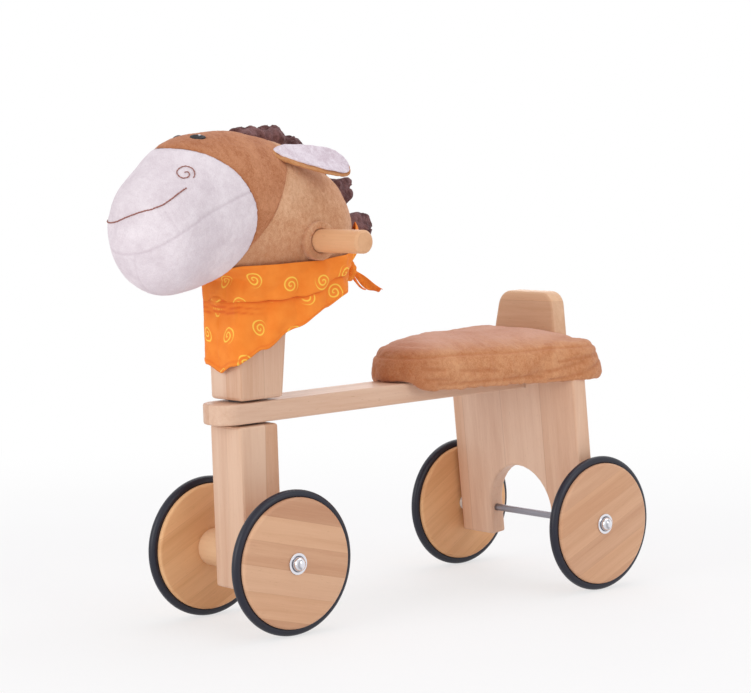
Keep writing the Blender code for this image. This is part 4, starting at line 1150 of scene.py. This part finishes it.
ORANGE, DEEP_ORANGE = colour(248, 144, 54), colour(242, 132, 44)
cotton = printed_cotton("printed_cotton", ORANGE, DEEP_ORANGE, colour(255, 208, 84))
# The loose ends' cotton has no print, and its second tone is darker than the neckerchief's: painted shade for the
# ends behind the knot
bare_cotton = printed_cotton("bare_cotton", ORANGE, colour(232, 108, 32), ORANGE)
press(scarf, "WELD", merge_threshold=0.00001)
face_outwards(scarf)
press(scarf, "SOLIDIFY", thickness=0.0007, offset=0.0)
finished(scarf, cotton, "steering", "scarf", slot="scarf_cotton", tipped=True)
print("neckerchief's cloth:", round(sum(p.area for p in scarf.data.polygons) / 2, 4), "m2")

# %% [markdown]
# The knot is the cloth rolled over itself, and two loose ends hang from it. It could be tied from a
# strip, but only its outside is ever seen. So a ball gets two deep folds across it, and the loose
# ends are strips that leave it, twist and curl.

# %% Knot and loose ends
knot = started("neckerchief_knot", bpy.ops.mesh.primitive_uv_sphere_add, segments=64, ring_count=40)
places = points_of(knot)
x, y, z = places.T
fold = 1 - 0.16 * np.exp(-((x * 0.8 + z * 0.6 - 0.25) / 0.12) ** 2)
fold = fold - 0.14 * np.exp(-((x - z * 0.4 + 0.45) / 0.12) ** 2)
crease = 1 + 0.035 * np.sin(14 * z + 5 * x)
spots = np.array((0, 0.1450, 0.2870)) + places * (fold * crease)[:, None] * np.array((0.0130, 0.0070, 0.0120))
move_points(knot, spots)
knot.data.uv_layers.new(name="cloth")
finished(knot, cotton, "steering", "scarf_knot", slot="scarf_cotton", tipped=True)
ends, LONG, ACROSS = [], 36, 9
for side, sign in SIGNS.items():
    rows = []
    for i in range(LONG + 1):
        s = i / LONG
        fall = 0.030 * s - 0.010 * s * s
        spot = Vector((sign * (0.004 + 0.010 * s), 0.1515 + 0.0265 * s, 0.2840 - fall))
        half = 0.0030 + 0.0026 * math.sin(math.pi * min(1, s * 1.1)) + 0.001 * s
        twist = math.radians(20 + 50 * s) * sign
        row = []
        for j in range(ACROSS):
            t = j / 4 - 1
            wide = Vector((math.sin(twist), 0, math.cos(twist))) * half * t
            cup = Vector((math.cos(twist), 0, -math.sin(twist))) * 0.0012 * (t * t + 0.7 * math.sin(9 * s + 3 * t))
            row.append(spot + wide + cup)
        rows.append(row)
    end = from_grid(f"{side}_loose_end", rows)
    layer = end.data.uv_layers.new(name="cloth")
    for loop in end.data.loops:
        row, place = divmod(loop.vertex_index, ACROSS)
        layer.data[loop.index].uv = (0.9 + row * 0.0012, 0.3 + place * 0.002)
    press(end, "SOLIDIFY", thickness=0.0008, offset=0.0)
    finished(end, bare_cotton, "steering", f"scarf_tail_{side}", slot="scarf_cotton", tipped=True)
    ends.append(end)

# %% [markdown]
# The seat is a foam pad under a fitted plush cover. The cover's top is domed, a seam runs round its
# upper edge, and a drawstring gathers its skirt under the seat board. It could be a rounded box, but
# its outline is the tight line round three circles, one at the narrow front and two at the rear
# corners. So its skin is laid in rings of points that follow that line, up the side and in to the
# middle of the top.

# %% Seat cushion
SEAT_CIRCLES = [((0, 0.2476), 0.058), ((0.071, 0.4005), 0.038), ((-0.071, 0.4005), 0.038)]


def seat_line(inset, count):
    """Even points on the seat's outline, drawn in by inset."""
    line = []
    for i in range(720):
        angle = math.tau * i / 720 - math.pi / 2
        way = Vector((math.cos(angle), math.sin(angle)))
        middle, radius = max(SEAT_CIRCLES, key=lambda circle: way.dot(Vector(circle[0])) + circle[1])
        line.append(Vector(middle) + way * (radius - inset))
    line.append(line[0])
    walked = paced(line)
    spots = np.linspace(0, walked[-1], count, endpoint=False)
    return [(np.interp(s, walked, [p.x for p in line]), np.interp(s, walked, [p.y for p in line])) for s in spots]


# The side as (how far in from the outline, height), and the top as (how wide, height)
AROUND = 240
WALL = [(0.0092, 0.1735), (0.0092, 0.1600), (0.0100, 0.1520), (0.0088, 0.1494), (0.0062, 0.1492), (0.0038, 0.1515),
        (0.0018, 0.1560), (0.0006, 0.1610), (0.0, 0.1660), (0.0004, 0.1715), (0.0020, 0.1790), (0.0042, 0.1845),
        (0.0068, 0.1884), (0.0096, 0.1918), (0.0130, 0.1955)]
CROWN = [(0.96, 0.1972), (0.88, 0.1998), (0.78, 0.2024), (0.66, 0.2052), (0.52, 0.2081), (0.38, 0.2099),
         (0.24, 0.2109), (0.12, 0.2112), (0.03, 0.2113)]
MIDDLE_Y = 0.33405
rings = [[(x, y, h) for x, y in seat_line(inset, AROUND)] for inset, h in WALL]
edge = seat_line(WALL[-1][0], AROUND)
for scale, h in CROWN:
    rings.append([(x * scale, MIDDLE_Y + (y - MIDDLE_Y) * scale, h) for x, y in edge])
cushion = from_grid("seat_cover", rings, loop=True, closed=True)
places = points_of(cushion)
x, y, h = places.T
low = np.clip((0.172 - h) / 0.020, 0, 1)
# The hem is raised where it crosses the beam, which is 50 mm wide
over_beam = 1 - np.clip((np.abs(x) - 0.0245) / 0.018, 0, 1)
places[:, 2] += 0.0098 * low * over_beam * over_beam * (3 - 2 * over_beam)
# The front end is a little taller, and the top is sat flat behind it
places[:, 2] += 0.002 * np.clip((0.275 - y) / 0.06, 0, 1) * (h > 0.16)
crown = np.clip((h - 0.190) / 0.015, 0, 1)
places[:, 2] += crown * (0.0048 * np.exp(-(((y - 0.243) / 0.048) ** 2)) - 0.0062)
# The skirt stands out at the rear corners, where it is gathered most
corner = np.clip((np.abs(x) - 0.085) / 0.012, 0, 1) * np.clip((0.164 - h) / 0.010, 0, 1)
places[:, 0] += 0.0045 * np.sign(x) * corner
move_points(cushion, places)
face_outwards(cushion)
knit(cushion, 0.0021, 4)
outline = np.array(seat_line(0.0, 360))
outline_round = np.c_[np.vstack([outline, outline[:1]]), np.zeros(len(outline) + 1)]
print("seat cover:", [round(v, 3) for v in cushion.dimensions])

# %% [markdown]
# The cover is cloth, and its folds could be sculpted. A cloth simulation finds truer ones. The
# cover's lower edge and its seam are held, its skin is made a little too large, and air presses it
# out from inside. The skin has to go somewhere, and buckles into the long folds that a stuffed seat
# shows. No point may move far.

# %% Blowing up the cover
FRAMES = 20


def blown_up(piece, held, slacker, pressure, slack, furthest):
    """Cloth simulation of a skin full of air. held and slacker say from 0 to 1 what stays and what has
    more cloth, slack how much more, from the least to the most, and furthest how far a point may go."""
    knit(piece, 0.0038, 2)
    before = points_of(piece)
    for name, weights in (("held", held(before)), ("slacker", slacker(before))):
        group = piece.vertex_groups.new(name=name)
        for index, weight in enumerate(weights):
            group.add([index], float(weight), "REPLACE")
    hold(piece)
    cloth = piece.modifiers.new("Cloth", "CLOTH")
    stuff = cloth.settings
    stuff.quality, stuff.mass, stuff.effector_weights.gravity = 5, 0.2, 0
    stuff.use_pressure, stuff.uniform_pressure_force = True, pressure
    stuff.shrink_min, stuff.shrink_max = -slack[0], -slack[1]
    stuff.vertex_group_shrink, stuff.vertex_group_mass = "slacker", "held"
    stuff.bending_stiffness, stuff.tension_stiffness, stuff.compression_stiffness = 0.35, 12, 12
    cloth.point_cache.frame_start, cloth.point_cache.frame_end = 1, FRAMES
    for moment in range(1, FRAMES + 1):
        bpy.context.scene.frame_set(moment)
    bpy.ops.object.modifier_apply(modifier=cloth.name)
    bpy.context.scene.frame_set(1)
    way = points_of(piece) - before
    length = np.linalg.norm(way, axis=1)
    print(f"{piece.name}: moved {1000 * length.mean():.1f} mm on average, {1000 * length.max():.1f} at most")
    eased = furthest * np.tanh(length / furthest) / np.maximum(length, 1e-9)
    move_points(piece, before + way * eased[:, None])
    piece.vertex_groups.clear()
    press(piece, "SUBSURF", levels=1, render_levels=1)


SEAM_HEIGHT, SEAM_IN = 0.1885, 0.0085


def gap_from_edge(places):
    """How far in from the seat's outline each place is, seen from above."""
    return from_line(np.c_[places[:, :2], np.zeros(len(places))], outline_round)


def gap_from_seam(places, height):
    """How far each place is from the seam round the cover's upper edge."""
    return np.hypot(places[:, 2] - height, np.maximum(gap_from_edge(places) - SEAM_IN, 0) * 0.7)


def seat_held(places):
    """1 at the seam, at the hem and under the board, where the cover is held."""
    h, gap = places[:, 2], gap_from_edge(places)
    seam = np.exp(-(gap_from_seam(places, SEAM_HEIGHT) / 0.0028) ** 2)
    hem = h < np.where(np.abs(places[:, 0]) < 0.034, 0.1635, 0.1550)
    return np.clip(seam * 1.2 + hem + (gap > 0.009) * (h < 0.18), 0, 1)


def seat_slacker(places):
    """1 on the skirt, which has cloth to spare."""
    return (places[:, 2] < SEAM_HEIGHT) * (gap_from_edge(places) < 0.012)


blown_up(cushion, seat_held, seat_slacker, 2.5, (0.03, 0.22), 0.0055)

# %% [markdown]
# Three things have their own place on the real cover, so they are drawn and not left to the
# simulation: the gathers above the drawstring, the sewn seam, and a few long creases on each side.
# Each crease is tucked twice, a narrow valley in a broad one, so that it has soft shoulders.

# %% Gathers, seam and creases of the cover
places = points_of(cushion)
x, y, h = places.T
angle = np.arctan2(y - MIDDLE_Y, x)
gathers = np.array([noise.noise(Vector((a * 14.0, (up - 0.15) * 25, 8.0))) for a, up in zip(angle, h)])
push = 0.0014 * np.clip((0.164 - h) / 0.012, 0, 1) * gathers + 0.0013 * rough(places, 0.050, 11.0)
move_points(cushion, places + points_of(cushion, "normal") * push[:, None])
knit(cushion, 0.00135, 2)
places = points_of(cushion)
seam_height = SEAM_HEIGHT + 0.0008 * np.sin(np.arctan2(places[:, 1] - MIDDLE_Y, places[:, 0]) * 5)
tuck(cushion, gap_from_seam(places, seam_height), 0.0010, 0.0015)
# Each crease as (how far from front to rear, height) points on the cover's side
CREASES = [[(0.14, 0.1572), (0.42, 0.1590), (0.62, 0.1600)], [(0.66, 0.1530), (0.83, 0.1610), (0.98, 0.1740)],
           [(0.58, 0.1625), (0.77, 0.1690), (0.97, 0.1780)], [(0.70, 0.1745), (0.85, 0.1775), (0.99, 0.1815)],
           [(0.07, 0.1770), (0.16, 0.1745)], [(0.24, 0.1730), (0.40, 0.1700)], [(0.08, 0.1650), (0.19, 0.1620)]]
seat_skin = skin_of(cushion)
for sign in (1, -1):
    side = outline[outline[:, 0] * sign > 0]
    for number, crease in enumerate(CREASES):
        shift = 0.0 if sign > 0 else 0.0025 * math.sin(5.0 * number)
        spots = [(*side[np.abs(side[:, 1] - (0.192 + 0.243 * t)).argmin()], up + shift) for t, up in crease]
        gap = from_line(points_of(cushion), on_skin(spots, seat_skin))
        tuck(cushion, gap, 0.0013, 0.0014)
        tuck(cushion, gap, 0.0014, 0.0055)
lumpy(cushion, 0.0006, 0.0004, 12.0, 0.012, 0.0036)
finished(cushion, seat_plush, "frame", "seat_cushion", slot="brown_plush", tipped=True)
